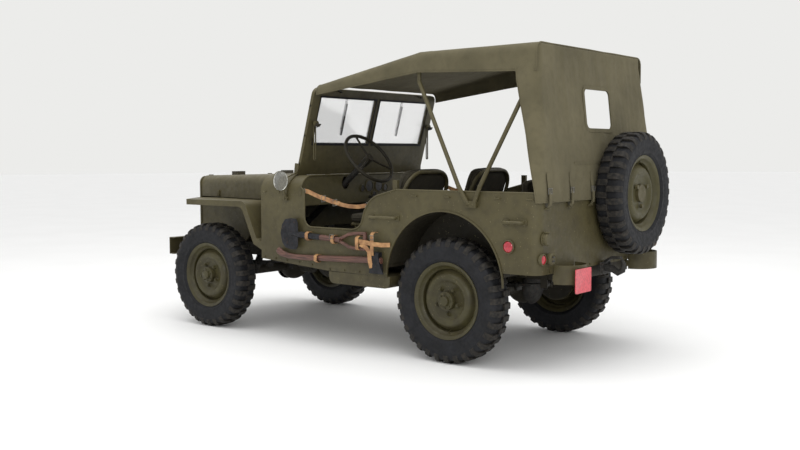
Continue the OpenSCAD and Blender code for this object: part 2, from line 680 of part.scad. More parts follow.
// ---- Steering knuckles ----
module knuckle() {
    ball_in = ball_r + 5;
    plate_in = drum_edge - 8 - kingpin_y;
    on_kingpin() rotate_extrude() {
        polygon(concat(arc([0, 0], ball_r + 12, -8, 90, 14), arc([0, 0], ball_in, 90, -8, 14)));
        translate([ball_in + 1, plate_in]) square([134 - ball_in, 7]);
        translate([0, ball_in + 1]) square([spindle_r, 680 - kingpin_y - ball_in]);
    }
    // bearing caps over the kingpin's two ends
    for (z = [axle_z - ball_r - 22, axle_z + ball_r + 6]) translate([axle_f, kingpin_y, z]) cylinder(h = 16, r = 16);
    block([axle_f + ball_in, kingpin_y - 8, tie_z + 10], [axle_f + tie_arm, kingpin_y + 14, tie_z + 30]);
    translate([axle_f + tie_arm, kingpin_y, tie_z - 12]) cylinder(h = 24, r = 9);
    translate([axle_f + tie_arm, kingpin_y, tie_z + 10]) cylinder(h = 20, r = 16);
}
module knuckle_left() color(dark_olive) place() knuckle();
module knuckle_right() color(dark_olive) place() mirror([0, 1, 0]) knuckle();
module tie_rod() color(iron_colour) place() {
    cross_bar(axle_f + tie_arm, tie_z, -kingpin_y + 14, kingpin_y - 14, 9);
    both_sides() translate([axle_f + tie_arm, kingpin_y, tie_z - 9]) difference() {
        cylinder(h = 18, r = 17);
        translate([0, 0, -1]) cylinder(h = 20, r = 9.05);
    }
}

// ---- Spare wheel, tow and lights ----
spare_y = -205;
spare_z = 954;
module spare_place() place() translate([spare_x, spare_y, spare_z]) rotate([0, -90, 0]) children();
module spare_tyre() color(rubber_colour) spare_place() tyre();
module spare_wheel() color(rim_olive) spare_place() {
    rotate_extrude($fn = 96) {
        translate([rim_r - 8, -57]) square([8, 114]);
        for (z = [-64, 57]) translate([rim_r - 8, z]) square([26, 7]);
        polygon([[rim_r - 4, 2], [rim_r - 4, 12], [150, 42], [52, 42], [52, 34], [145, 34]]);
    }
}
module spare_carrier() color(olive) place() {
    block([rear_x - 6, spare_y - 90, 700], [rear_x - 0.2, spare_y + 90, canvas_low - 12]);
    side_plate(spare_y - 30, spare_y + 30) polygon([[rear_x - 5, 740], [rear_x - 5, canvas_low - 14],
        [rear_x - 20, canvas_low - 6], [rear_x - 70, spare_z], [rear_x - 70, spare_z - 50], [rear_x - 20, 800]]);
    long_bar(spare_y, spare_z, spare_x - 33.8, rear_x - 22, 46);
    for (i = [0:2]) long_bar(spare_y + 75 * cos(120 * i + 30), spare_z + 75 * sin(120 * i + 30),
        spare_x - 58, spare_x - 42.2, 12);
    long_bar(spare_y, spare_z, spare_x - 52, spare_x - 33.8, 51);
}

// Curved guard plates at the rear, each on a strap bolted to the frame's end
guard_y = 450;
guard_r = 120;
module bumperettes() color(olive) place() both_sides() translate([rear_x - 6, guard_y, kick_low + 8]) {
    rotate([0, 0, 90]) rotate_extrude(angle = 180, $fn = 64) translate([guard_r - 6, 0]) square([6, 103]);
    translate([0, -guard_r, 15]) cube([25.8, 40, 35]);
    translate([-1, -guard_r, 15]) cube([7, 2 * guard_r, 35]);
}

module pintle_hook() color(iron_colour) place() {
    block([rear_x - 20, -70, kick_low + 6], [rear_x + 19.8, 70, 546]);
    long_bar(0, 530, rear_x - 60, rear_x - 19, 26);
    side_plate(-18, 18) difference() {
        translate([rear_x - 85, 530]) circle(r = 44);
        translate([rear_x - 85, 530]) circle(r = 21);
    }
}

// Blackout lamp, red reflector and side reflector on each side, trailer socket on the left
lamp_y = box_side - 40;
module rear_lights() color(red_lens) place() {
    both_sides() {
        long_bar(lamp_y, 632, rear_x - 34, rear_x - 0.2, 31);
        long_bar(lamp_y + 64, 632, rear_x - 16, rear_x - 0.2, 31);
        cross_bar(-1459, 693, body_half + 0.2, body_half + 12, 38);
    }
    long_bar(lamp_y + 36, 738, rear_x - 30, rear_x - 0.2, 34);
}
// A small plate on the left guard plate's rear
module number_plate() color("#d0505a") place()
    block([rear_x - guard_r - 12.1, guard_y - 66, 446], [rear_x - guard_r - 6.1, guard_y + 104, 576]);

module grab_handle(x0, x1, z) {
    out = body_half + handle_out;
    bend = 20;
    for (x = [x0, x1]) cross_bar(x, z, body_half + 0.2, out - bend, 9);
    long_bar(out, z, x0 + bend, x1 - bend, 9);
    translate([x0 + bend, out - bend, z]) rotate([0, 0, 90]) rotate_extrude(angle = 90) translate([bend, 0]) circle(r = 9);
    translate([x1 - bend, out - bend, z]) rotate_extrude(angle = 90) translate([bend, 0]) circle(r = 9);
}
module grab_handles() color(olive) place() both_sides() {
    grab_handle(-700, -510, 819);
    grab_handle(-1552, -1440, 825);
}

// Straps across the door openings, hanging a little slack between their hooks
strap_line = [[door_front + 6, 958], [-90, 925], [-250, 886], [-380, 872], [-468, 884]];
module safety_straps() color("#a9744a") place() both_sides()
    side_plate(body_half - sheet - 7.3, body_half - sheet - 0.3) polygon(concat(
        [for (p = strap_line) p + [0, 12]],
        [for (i = [len(strap_line) - 1:-1:0]) strap_line[i] - [0, 12]]));

// ---- Tools on the left side ----
tool_y = body_half + 24;
module tool_clip(x, low, high) block([x - 14, body_half + 0.2, low], [x + 14, tool_y, high]);
module shovel() color(iron_colour) place() {
    side_plate(tool_y - 4, tool_y + 4) polygon(concat([[80, 788], [66, 762], [66, 620], [80, 592]],
        arc([165, 640], 50, 290, 360), [[222, 690]], arc([165, 740], 50, 0, 70)));
    bar([100, tool_y, 690], [-292, tool_y, 671], 17);
    for (dir = [-1, 1])
        tube_path([[-282, tool_y, 671], [-345, tool_y, 671 + 40 * dir], [-482, tool_y, 672 + 46 * dir]], 11);
    bar([-482, tool_y, 621], [-482, tool_y, 723], 12);
    for (x = [-20, -230]) tool_clip(x, 664, 690);
}
module axe() color(wood_colour) place() {
    tube_path([[246, tool_y, 578], [196, tool_y, 554], [80, tool_y, 546], [-600, tool_y, 566]], 15);
    side_plate(tool_y - 12, tool_y + 12) polygon([[-524, 575], [-600, 575], [-618, 484], [-506, 484]]);
    side_plate(tool_y - 20, tool_y + 20) polygon([[-526, 612], [-598, 612], [-603, 540], [-520, 540]]);
    for (x = [-60, -430]) tool_clip(x, 544, 562);
}
// A round mirror on a short arm from the cowl's side, with a stay to the windscreen frame
module side_mirror() color(olive) place() {
    stay_z = cowl_top + 18;
    stay_x = screen_x - tan(screen_lean) * 18;
    centre = [188, body_half + mirror_r, 1022];
    cross_bar(centre[0], 908, body_half + 0.2, body_half + 18, 12);
    bar([centre[0], body_half + 12, 908], centre - [0, 8, 20], 5);
    long_bar(centre[1], centre[2], centre[0] - 4, centre[0] + 6, mirror_r);
    bar([stay_x, screen_half + 10, stay_z], centre, 4);
    cross_bar(stay_x, stay_z, screen_half + 0.3, screen_half + 16, 10);
}

chassis_frame();
front_bumper();
front_axle();
rear_axle();
leaf_springs();
engine_block();
gearbox();
propeller_shafts();
exhaust();
radiator();
fuel_tank();
floor();
body_sides();
rear_panel();
wheel_houses();
toolbox_lid_left();
toolbox_lid_right();
cowl();
dash_panel();
hood();
hood_blocks();
grille();
headlights();
front_fenders();
windscreen_frame();
windscreen_glass();
windscreen_arms();
wipers();
steering_box();
steering_wheel();
levers_and_pedals();
front_seat_frames();
rear_seat_frame();
seat_cushions();
canvas_top();
top_bows();
spare_tyre();
spare_wheel();
spare_carrier();
bumperettes();
pintle_hook();
rear_lights();
number_plate();
grab_handles();
safety_straps();
shovel();
axe();
side_mirror();
knuckle_left();
knuckle_right();
tie_rod();
tyre_front_left();
tyre_front_right();
tyre_rear_left();
tyre_rear_right();
wheel_front_left();
wheel_front_right();
wheel_rear_left();
wheel_rear_right();
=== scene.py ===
# %% [markdown]
# # A light army 4x4 with its canvas top up
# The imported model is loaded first. It is the fixed frame that every new piece is built around,
# so nothing here moves it. Lengths are given in millimetres, as on a workshop drawing.

# %% Load the frame
import math

import bmesh
import bpy
from mathutils import Matrix, Vector, noise


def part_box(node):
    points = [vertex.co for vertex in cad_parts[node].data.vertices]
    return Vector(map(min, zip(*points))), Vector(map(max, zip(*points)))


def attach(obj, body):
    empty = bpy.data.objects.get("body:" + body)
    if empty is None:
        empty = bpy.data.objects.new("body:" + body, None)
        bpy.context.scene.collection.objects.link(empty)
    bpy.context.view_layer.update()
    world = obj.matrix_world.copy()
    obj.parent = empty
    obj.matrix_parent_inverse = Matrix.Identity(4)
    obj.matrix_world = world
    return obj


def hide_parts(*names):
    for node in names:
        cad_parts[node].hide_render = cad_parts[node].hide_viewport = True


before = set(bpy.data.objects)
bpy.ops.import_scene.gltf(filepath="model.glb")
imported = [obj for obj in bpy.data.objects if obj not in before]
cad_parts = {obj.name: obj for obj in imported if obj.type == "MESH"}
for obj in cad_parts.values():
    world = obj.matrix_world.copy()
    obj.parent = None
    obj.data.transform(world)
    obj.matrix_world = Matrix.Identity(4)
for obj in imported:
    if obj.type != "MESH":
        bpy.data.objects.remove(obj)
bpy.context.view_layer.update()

MM = 0.001
# points that lie closer than this are welded into one
WELD = 0.00002


# %% [markdown]
# The drawing of the car has its zero midway between the axles and between its sides, while the
# model's zero is under the middle of its overall box. One small function carries a drawing point
# over. The shifts come from the wheels and the tub of the frame, so a new length needs no change here.

# %% Points of the drawing
def middle(node):
    low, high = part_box(node)
    return (Vector(low) + Vector(high)) / 2


hub_front, hub_rear = middle("wheel_front_left"), middle("wheel_rear_left")
tub_low, tub_high = (Vector(corner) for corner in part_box("body_sides"))
SHIFT, SIDE_SHIFT = (hub_front.x + hub_rear.x) / 2, (tub_low.y + tub_high.y) / 2
HALF_BASE = (hub_front.x - hub_rear.x) / 2 / MM
TUB_HALF = (tub_high.y - tub_low.y) / 2 / MM
REAR = (float(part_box("rear_panel")[0][0]) - SHIFT) / MM
COWL_REAR = (float(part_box("cowl")[0][0]) - SHIFT) / MM
COWL_TOP = float(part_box("cowl")[1][2]) / MM


def at(x, y, z):
    return Vector((SHIFT + x * MM, SIDE_SHIFT + y * MM, z * MM))


print("half wheelbase", round(HALF_BASE), "tub half width", round(TUB_HALF), "rear face", round(REAR))

# %% [markdown]
# The camera stands behind the car on its left, a little above the bonnet, as a person would who walks
# up to the driver's door. A camera looks along its own minus Z, so its matrix is made of the view's
# right, its up, and the backwards direction.

# %% Camera
EYE = at(-4233, 5140.5, 1186.7)
YAW, PITCH, ROLL = (math.radians(a) for a in (-51.507, -4.136, -0.217))
FOCAL_IN_WIDTHS = 980.7 / 800
SENSOR = 36

ahead = Vector((math.cos(PITCH) * math.cos(YAW), math.cos(PITCH) * math.sin(YAW), math.sin(PITCH)))
right = ahead.cross(Vector((0, 0, 1))).normalized()
up = right.cross(ahead)
right, up = (math.cos(ROLL) * right + math.sin(ROLL) * up, math.cos(ROLL) * up - math.sin(ROLL) * right)
camera = bpy.data.objects.new("camera", bpy.data.cameras.new("camera"))
camera.data.sensor_width = SENSOR
camera.data.lens = FOCAL_IN_WIDTHS * SENSOR
camera.matrix_world = Matrix.Translation(EYE) @ Matrix((right, up, -ahead)).transposed().to_4x4()
bpy.context.scene.collection.objects.link(camera)
bpy.context.scene.camera = camera
print("lens", round(camera.data.lens, 2), "mm")

# %% [markdown]
# A finish is built from shader nodes. One helper adds a node, sets its fields, and either joins or
# fills its sockets. Paint colours are kept as the hex values of a colour card, which hold
# more steps in the darks than light does, so another helper turns them into linear light.


# %% Node and colour helpers
def add_node(tree, kind, settings=None, inputs=None):
    node = tree.nodes.new(kind)
    for field, value in (settings or {}).items():
        setattr(node, field, value)
    for socket, value in (inputs or {}).items():
        if isinstance(value, bpy.types.NodeSocket):
            tree.links.new(value, node.inputs[socket])
        else:
            node.inputs[socket].default_value = value
    return node


def linear(card):
    parts = [int(card[i : i + 2], 16) / 255 for i in (1, 3, 5)]
    return [p / 12.92 if p <= 0.04045 else ((p + 0.055) / 1.055) ** 2.4 for p in parts] + [1.0]


def start_finish(name, **shader_values):
    material = bpy.data.materials.new(name)
    material.use_nodes = True
    tree = material.node_tree
    tree.nodes.clear()
    shader = add_node(tree, "ShaderNodeBsdfPrincipled")
    for socket, value in shader_values.items():
        shader.inputs[socket.replace("_", " ")].default_value = value
    add_node(tree, "ShaderNodeOutputMaterial", inputs={"Surface": shader.outputs[0]})
    where = add_node(tree, "ShaderNodeTexCoord").outputs["Object"]
    return material, tree, shader, where


print("olive as light", [round(v, 3) for v in linear("#453f27")])

# %% [markdown]
# Most finishes are uneven in patches: paint fades, dust settles, rubber greys. A patch pattern is
# noise with a size in millimetres, spread over a range. A blend lays one colour over
# another where a pattern is bright, and a relief turns patterns into small height changes.


# %% Patches, blends and reliefs
def patches(tree, where, size, low, high, floor=0.0, ceiling=1.0, detail=3.0):
    cloud = add_node(tree, "ShaderNodeTexNoise", inputs={
        "Vector": where, "Scale": 1 / (size * MM), "Detail": detail,
    })
    return add_node(tree, "ShaderNodeMapRange", inputs={
        "Value": cloud.outputs["Fac"], "From Min": low, "From Max": high, "To Min": floor, "To Max": ceiling,
    }).outputs[0]


def blend(tree, pattern, below, above):
    return add_node(tree, "ShaderNodeMix", {"data_type": "RGBA"}, {0: pattern, 6: below, 7: above}).outputs[2]


def relief(tree, height, depth, under=None):
    inputs = {"Height": height, "Distance": depth * MM, "Strength": 1.0}
    if under is not None:
        inputs["Normal"] = under
    return add_node(tree, "ShaderNodeBump", inputs=inputs).outputs[0]


def times(tree, first, second):
    return add_node(tree, "ShaderNodeMath", {"operation": "MULTIPLY"}, {0: first, 1: second}).outputs[0]


print("patterns ready")

# %% [markdown]
# Olive drab is a matt alkyd enamel, sprayed on pressed steel sheet. It has no metal in it, its gloss
# is low, and old paint is chalky: it goes paler in patches, keeps pale dust on every face that looks up,
# and is darker with road dirt low down. The panels are not flat either, so a wide shallow
# relief bends the light on them. The frame, the axles and the wheels wear the same paint in other shades.


# %% Enamel on steel
def enamel(name, fresh, chalky, dusty, roughness, dirt="#2c271c", waves=0.7):
    material, tree, shader, where = start_finish(name, Roughness=roughness, IOR=1.5, Specular_IOR_Level=0.3)
    faded = blend(tree, patches(tree, where, 320, 0.38, 0.66), linear(fresh), linear(chalky))
    mottled = blend(tree, patches(tree, where, 45, 0.45, 0.75, 0.0, 0.35), faded, linear(dirt))
    looks_to = add_node(tree, "ShaderNodeNewGeometry").outputs["Normal"]
    split = add_node(tree, "ShaderNodeSeparateXYZ", inputs={0: looks_to})
    lying = add_node(tree, "ShaderNodeMapRange", inputs={
        "Value": split.outputs["Z"], "From Min": 0.3, "From Max": 1.0, "To Min": 0.0, "To Max": 0.75,
    }).outputs[0]
    settled = times(tree, lying, patches(tree, where, 90, 0.3, 0.6, 0.45, 1.0))
    dusted = blend(tree, settled, mottled, linear(dusty))
    height = add_node(tree, "ShaderNodeSeparateXYZ", inputs={0: where}).outputs["Z"]
    low_down = add_node(tree, "ShaderNodeMapRange", inputs={
        "Value": height, "From Min": 0.66, "From Max": 0.4, "To Min": 0.0, "To Max": 0.55,
    }).outputs[0]
    soiled = blend(tree, times(tree, low_down, patches(tree, where, 60, 0.35, 0.65, 0.3, 1.0)), dusted,
                   linear(dirt))
    # chips through to the primer, about 5 mm across and rare
    chips = patches(tree, where, 9, 0.735, 0.75, detail=1.0)
    tree.links.new(blend(tree, chips, soiled, linear("#6d6549")), shader.inputs["Base Color"])
    gloss = patches(tree, where, 30, 0.3, 0.7, roughness - 0.09, roughness + 0.12)
    tree.links.new(gloss, shader.inputs["Roughness"])
    sheet_waves = relief(tree, patches(tree, where, 210, 0.2, 0.8, detail=1.0), waves)
    tree.links.new(relief(tree, patches(tree, where, 4, 0.2, 0.8), 0.05, sheet_waves),
                   shader.inputs["Normal"])
    return material


OLIVE = enamel("olive_enamel_on_pressed_steel", "#453f27", "#504a31", "#665f47", 0.5)
# the darkest enamel also covers the floor and the wheel houses, where it is painted shade of the cockpit and
# the wheel arches
CHASSIS_ENAMEL_AND_PAINTED_SHADE = enamel("dark_chassis_enamel_and_painted_shade", "#201d14", "#29251a", "#353026", 0.62)
RIM_PAINT = enamel("olive_rim_enamel", "#3d391e", "#4a462b", "#544e38", 0.45, waves=0.2)
print("enamels", OLIVE.name, CHASSIS_ENAMEL_AND_PAINTED_SHADE.name, RIM_PAINT.name)

# %% [markdown]
# Tyre rubber is black from carbon and goes blue grey as it ages. Dust from the road stays on the
# lug tops, so the tread has a browner shade than the side walls. Forged and
# cast iron parts are blued or greased black and show a grain from the mould or the hammer.


# %% Rubber and iron
def rubber(name, fresh, aged, dust, dust_share):
    material, tree, shader, where = start_finish(name, Roughness=0.62, IOR=1.52, Specular_IOR_Level=0.2)
    greyed = blend(tree, patches(tree, where, 70, 0.35, 0.7), linear(fresh), linear(aged))
    powder = patches(tree, where, 16, 0.35, 0.68, 0.0, dust_share)
    tree.links.new(blend(tree, powder, greyed, linear(dust)), shader.inputs["Base Color"])
    tree.links.new(patches(tree, where, 20, 0.3, 0.7, 0.5, 0.75), shader.inputs["Roughness"])
    tree.links.new(relief(tree, patches(tree, where, 5, 0.2, 0.8), 0.15), shader.inputs["Normal"])
    return material


def iron(name, dark, light, roughness, metallic=0.55):
    material, tree, shader, where = start_finish(name, Roughness=roughness, Metallic=metallic)
    skin = blend(tree, patches(tree, where, 35, 0.35, 0.7), linear(dark), linear(light))
    rust = patches(tree, where, 14, 0.6, 0.75, 0.0, 0.45)
    tree.links.new(blend(tree, rust, skin, linear("#5a3d2a")), shader.inputs["Base Color"])
    tree.links.new(patches(tree, where, 12, 0.3, 0.7, roughness - 0.1, roughness + 0.15),
                   shader.inputs["Roughness"])
    tree.links.new(relief(tree, patches(tree, where, 6, 0.2, 0.8), 0.25), shader.inputs["Normal"])
    return material


SIDEWALL = rubber("vulcanised_sidewall_rubber", "#121316", "#1d1e22", "#2c2a27", 0.25)
TREAD = rubber("dusty_tread_rubber", "#151515", "#201f1e", "#3f3a33", 0.6)
FORGED = iron("blued_forged_iron", "#17181b", "#2b2c31", 0.5)
CAST = iron("greasy_cast_iron", "#1d1c1a", "#34322e", 0.68, 0.3)
STEEL = iron("bright_worn_steel", "#6f6d68", "#8f8c84", 0.42, 0.9)
print("rubber and iron ready")

# %% [markdown]
# The top is cotton duck, a heavy plain weave that is waxed and dyed before sewing. Its threads are
# about 1 mm apart, too fine to show, so the weave is drawn at 6 mm. It is matt with a little
# sheen from loose fibres, fades on its folds and stains where water stood. The weave follows each
# sheet's own UV map, which is in metres.


# %% Cotton duck
def cloth(name, dark, light, pitch=6, sheen=0.12):
    material, tree, shader, where = start_finish(
        name, Roughness=0.92, IOR=1.45, Sheen_Weight=sheen, Sheen_Roughness=0.5)
    shader.inputs["Sheen Tint"].default_value = linear("#b5aa8c")
    flat = add_node(tree, "ShaderNodeTexCoord").outputs["UV"]
    threads = []
    for direction in ("X", "Y"):
        wave_kind = {"bands_direction": direction, "wave_profile": "SIN"}
        threads.append(add_node(tree, "ShaderNodeTexWave", wave_kind, {
            "Vector": flat, "Scale": math.pi / 10 / (pitch * MM), "Distortion": 0.6, "Detail": 1.0,
        }).outputs["Fac"])
    weave = times(tree, threads[0], threads[1])
    faded = blend(tree, patches(tree, where, 260, 0.36, 0.68), linear(dark), linear(light))
    streaked = blend(tree, patches(tree, where, 38, 0.45, 0.75, 0.0, 0.3), faded, linear("#3c3727"))
    shaded = blend(tree, times(tree, weave, 0.22), streaked, linear("#6f6850"))
    tree.links.new(shaded, shader.inputs["Base Color"])
    folds = relief(tree, patches(tree, where, 85, 0.25, 0.75, detail=2.0), 3.0)
    tree.links.new(relief(tree, weave, 0.5, folds), shader.inputs["Normal"])
    return material


CANVAS = cloth("waxed_cotton_duck", "#4c4733", "#5b553f")
SEAT_CANVAS = cloth("seat_canvas", "#17140d", "#242016", 5, 0.08)
print("cloth ready")

# %% [markdown]
# Smaller finishes: tan harness leather with a fine grain, oiled ash on the axe and shovel, clear
# glass for the panes, red moulded glass for the reflectors, half-silvered glass with a pale grey painted
# reflection for the lamps and the mirror, and a red baked enamel on the little plate. Wood grain is a
# stretched noise, long along the handles.


# %% Leather, wood, glass and small finishes
def leather():
    material, tree, shader, where = start_finish("tan_harness_leather", Roughness=0.55, IOR=1.5)
    tone = blend(tree, patches(tree, where, 40, 0.35, 0.7), linear("#7d5534"), linear("#b58a5a"))
    tree.links.new(tone, shader.inputs["Base Color"])
    tree.links.new(relief(tree, patches(tree, where, 3, 0.2, 0.8), 0.3), shader.inputs["Normal"])
    return material


def wood(name, dark, light):
    material, tree, shader, where = start_finish(name, Roughness=0.5, IOR=1.5)
    along_grain = {"Vector": where, "Scale": (0.06, 1.0, 1.0)}
    stretched = add_node(tree, "ShaderNodeMapping", inputs=along_grain).outputs[0]
    grain = patches(tree, stretched, 5, 0.35, 0.68, detail=4.0)
    tree.links.new(blend(tree, grain, linear(dark), linear(light)), shader.inputs["Base Color"])
    tree.links.new(relief(tree, grain, 0.4), shader.inputs["Normal"])
    return material


def plain_gloss(name, card, roughness, **values):
    material, tree, shader, where = start_finish(name, Roughness=roughness, **values)
    tone = blend(tree, patches(tree, where, 12, 0.3, 0.7, 0.0, 0.4), linear(card), linear("#20130f"))
    tree.links.new(tone, shader.inputs["Base Color"])
    return material


LEATHER = leather()
ASH = wood("oiled_ash_handle", "#3d241d", "#6b473a")
BLOCK_WOOD = wood("painted_block_wood", "#2f2b1c", "#403a28")
GLASS, glass_tree, glass_shader, glass_where = start_finish(
    "clear_sheet_glass", Roughness=0.03, IOR=1.5, Transmission_Weight=1.0, Alpha=0.45)
glass_smear = patches(glass_tree, glass_where, 120, 0.4, 0.7, 0.02, 0.12)
glass_tree.links.new(glass_smear, glass_shader.inputs["Roughness"])
RED_GLASS = plain_gloss("red_moulded_glass", "#b0122a", 0.12, IOR=1.52, Coat_Weight=0.6)
PLATE_RED = plain_gloss("red_baked_enamel_plate", "#d4525c", 0.3)
# its pale grey is partly metal silvering and partly a painted reflection of the bright studio
SILVERED_GLASS_AND_PAINTED_REFLECTION = plain_gloss("silvered_glass_with_painted_reflection", "#c9c9c2", 0.15, Metallic=0.6)
DIAL = plain_gloss("black_dial_enamel", "#161616", 0.3)
print("small finishes ready")

# %% [markdown]
# Every part that is kept from the frame gets its finish by a short table. Parts that are replaced
# by a finer piece later on get one too, because their slot stays in the record.

# %% Finish of each kept part
KEPT = {
    OLIVE: "front_bumper fuel_tank body_sides rear_panel toolbox_lid_left toolbox_lid_right cowl "
           "dash_panel hood grille front_fenders windscreen_frame windscreen_arms front_seat_frames "
           "rear_seat_frame top_bows spare_carrier bumperettes grab_handles side_mirror rear_lights",
    # the floor and the wheel houses wear this dark enamel as painted shade; on the other parts it is their
    # dark paint
    CHASSIS_ENAMEL_AND_PAINTED_SHADE: "floor wheel_houses chassis_frame front_axle rear_axle knuckle_left knuckle_right "
                   "steering_wheel",
    CAST: "leaf_springs engine_block gearbox propeller_shafts exhaust radiator pintle_hook steering_box "
          "levers_and_pedals tie_rod wipers",
    FORGED: "shovel", ASH: "axe", BLOCK_WOOD: "hood_blocks", GLASS: "windscreen_glass",
    SILVERED_GLASS_AND_PAINTED_REFLECTION: "headlights",
    CANVAS: "canvas_top", SEAT_CANVAS: "seat_cushions", LEATHER: "safety_straps", PLATE_RED: "number_plate",
    SIDEWALL: "spare_tyre tyre_front_left tyre_front_right tyre_rear_left tyre_rear_right",
    RIM_PAINT: "spare_wheel wheel_front_left wheel_front_right wheel_rear_left wheel_rear_right",
}
finished = 0
for finish, names in KEPT.items():
    for name in names.split():
        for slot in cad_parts[name].material_slots:
            slot.material = finish
            finished += 1
print(finished, "slots of", len(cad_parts), "parts have a finish")

# %% [markdown]
# The floor is a large pale sheet. Soft light comes from a wide lamp overhead, a weaker one beyond the
# camera's shoulder and a pale sky, so the shadows under the car are soft, as in a
# studio with a white cove.

# %% Floor and light
def new_object(name, mesh):
    data = bpy.data.meshes.new(name)
    mesh.to_mesh(data)
    mesh.free()
    made = bpy.data.objects.new(name, data)
    bpy.context.scene.collection.objects.link(made)
    return made


# in metres, so wide that its edge is out of sight
FLOOR_RADIUS = 60
floor_mesh = bmesh.new()
bmesh.ops.create_circle(floor_mesh, cap_ends=True, segments=64, radius=FLOOR_RADIUS)
studio_floor = new_object("studio_floor", floor_mesh)
floor_paint, floor_tree, floor_shader, floor_where = start_finish("white_studio_floor_paint", Roughness=0.75)
floor_tone = blend(floor_tree, patches(floor_tree, floor_where, 900, 0.3, 0.7), linear("#f2f2f1"),
                   linear("#f5f5f4"))
floor_tree.links.new(floor_tone, floor_shader.inputs["Base Color"])
studio_floor.data.materials.append(floor_paint)


def soft_light(name, place, aim, size, watts):
    lamp = bpy.data.lights.new(name, "AREA")
    lamp.shape, lamp.size, lamp.size_y, lamp.energy = "RECTANGLE", size[0], size[1], watts
    holder = bpy.data.objects.new(name, lamp)
    aimed = (aim - place).to_track_quat("-Z", "Y").to_matrix().to_4x4()
    holder.matrix_world = Matrix.Translation(place) @ aimed
    bpy.context.scene.collection.objects.link(holder)
    return holder


soft_light("overhead_light", Vector((-0.5, 0.8, 6.0)), Vector((0, 0, 0.8)), (7, 5), 190)
soft_light("shoulder_light", Vector((-5.5, 5.0, 3.6)), Vector((-0.3, 0, 0.7)), (4, 3), 120)
world = bpy.data.worlds.new("pale_sky")
world.use_nodes = True
sky = world.node_tree.nodes["Background"]
seen = add_node(world.node_tree, "ShaderNodeLightPath").outputs["Is Camera Ray"]
world.node_tree.links.new(blend(world.node_tree, seen, linear("#f8f8f8"), linear("#ececea")),
                          sky.inputs["Color"])
bpy.context.scene.world = world
bpy.context.scene.view_settings.view_transform = "Standard"
print("stage is lit")

# %% [markdown]
# ## Shaping tools
# New parts are shaped with bmesh. Three ways make almost all of them: a profile turned about an
# axis, as on a lathe; a section swept along a path, as a tube is bent; and a plain block or rod with
# its edges broken. Each works on an open mesh, so many small parts share one object.


# %% Turn, sweep, block and rod
def added(mesh, before):
    return [v for v in mesh.verts if v not in before]


def turned(mesh, profile, place, steps=64, loop=False):
    """profile is (radius, height) in mm; place carries the axis Z to where the part sits"""
    before = set(mesh.verts)
    points = [mesh.verts.new((r * MM, 0, h * MM)) for r, h in profile]
    pairs = list(zip(points, points[1:])) + ([(points[-1], points[0])] if loop else [])
    edges = [mesh.edges.new(pair) for pair in pairs]
    bmesh.ops.spin(mesh, geom=points + edges, cent=(0, 0, 0), axis=(0, 0, 1), dvec=(0, 0, 0),
                   angle=2 * math.pi, steps=steps, use_merge=True, use_duplicate=False)
    bmesh.ops.transform(mesh, matrix=place, verts=added(mesh, before))


def swing(end, steps):
    """even angles from 0 to end"""
    return [end * i / steps for i in range(steps + 1)]


def ring_section(radius, sides=12):
    return [(radius * math.cos(2 * math.pi * i / sides), radius * math.sin(2 * math.pi * i / sides))
            for i in range(sides)]


def strap_section(width, thick):
    w, t = width / 2, thick / 2
    return [(-w, -t), (w, -t), (w, t), (-w, t)]


def path_frames(path, side, closed):
    frames, across = [], Vector(side)
    for i, point in enumerate(path):
        later = path[(i + 1) % len(path)] if closed or i + 1 < len(path) else point
        earlier = path[i - 1] if closed or i else point
        along = (later - earlier).normalized()
        across = (across - across.dot(along) * along).normalized()
        turn = Matrix((across, along.cross(across), along)).transposed().to_4x4()
        frames.append(Matrix.Translation(point) @ turn)
    return frames


def sweep(mesh, section, path, side=(0, 0, 1), closed=False, twist=0.0, grow=None):
    """section is in mm across side and its normal; twist turns it about the path in all"""
    frames = path_frames(path, side, closed)
    points = [mesh.verts.new((a * MM, b * MM, 0)) for a, b in section]
    ring = [mesh.edges.new((points[i - 1], points[i])) for i in range(len(points))]
    first, last = ring, Matrix.Identity(4)
    for i, frame_here in enumerate(frames):
        turn = Matrix.Rotation(twist * i / max(1, len(frames) - 1), 4, "Z")
        here = frame_here @ turn @ Matrix.Scale(grow[i] if grow else 1.0, 4)
        if i:
            grown = bmesh.ops.extrude_edge_only(mesh, edges=ring)["geom"]
            ring = [e for e in grown if isinstance(e, bmesh.types.BMEdge)]
            points = [v for v in grown if isinstance(v, bmesh.types.BMVert)]
        bmesh.ops.transform(mesh, matrix=here @ last.inverted(), verts=points)
        last = here
    if closed:
        bmesh.ops.bridge_loops(mesh, edges=first + ring)
    else:
        for end in (first, ring):
            bmesh.ops.contextual_create(mesh, geom=end)


def block(mesh, low, high, edge=2.0):
    low, high = at(*low), at(*high)
    size, centre = high - low, (low + high) / 2
    place = Matrix.Translation(centre) @ Matrix.Diagonal((*size, 1))
    made = bmesh.ops.create_cube(mesh, size=1.0, matrix=place)["verts"]
    if edge:
        edges = list({e for v in made for e in v.link_edges})
        bmesh.ops.bevel(mesh, geom=edges, offset=edge * MM, affect="EDGES", segments=2, profile=0.5,
                        material=-1)


def side_block(mesh, sign, xs, ys, zs, edge=2.0):
    """a block on one side of the car; each pair holds its two ends, and ys runs outwards"""
    low, high = sorted(sign * y for y in ys)
    block(mesh, (xs[0], low, zs[0]), (xs[1], high, zs[1]), edge)


def rod(mesh, start, end, radius, sides=16, far_radius=None):
    way = end - start
    place = Matrix.Translation((start + end) / 2) @ way.to_track_quat("Z", "Y").to_matrix().to_4x4()
    bmesh.ops.create_cone(mesh, cap_ends=True, segments=sides, radius1=radius * MM,
                          radius2=(radius if far_radius is None else far_radius) * MM, depth=way.length,
                          matrix=place)


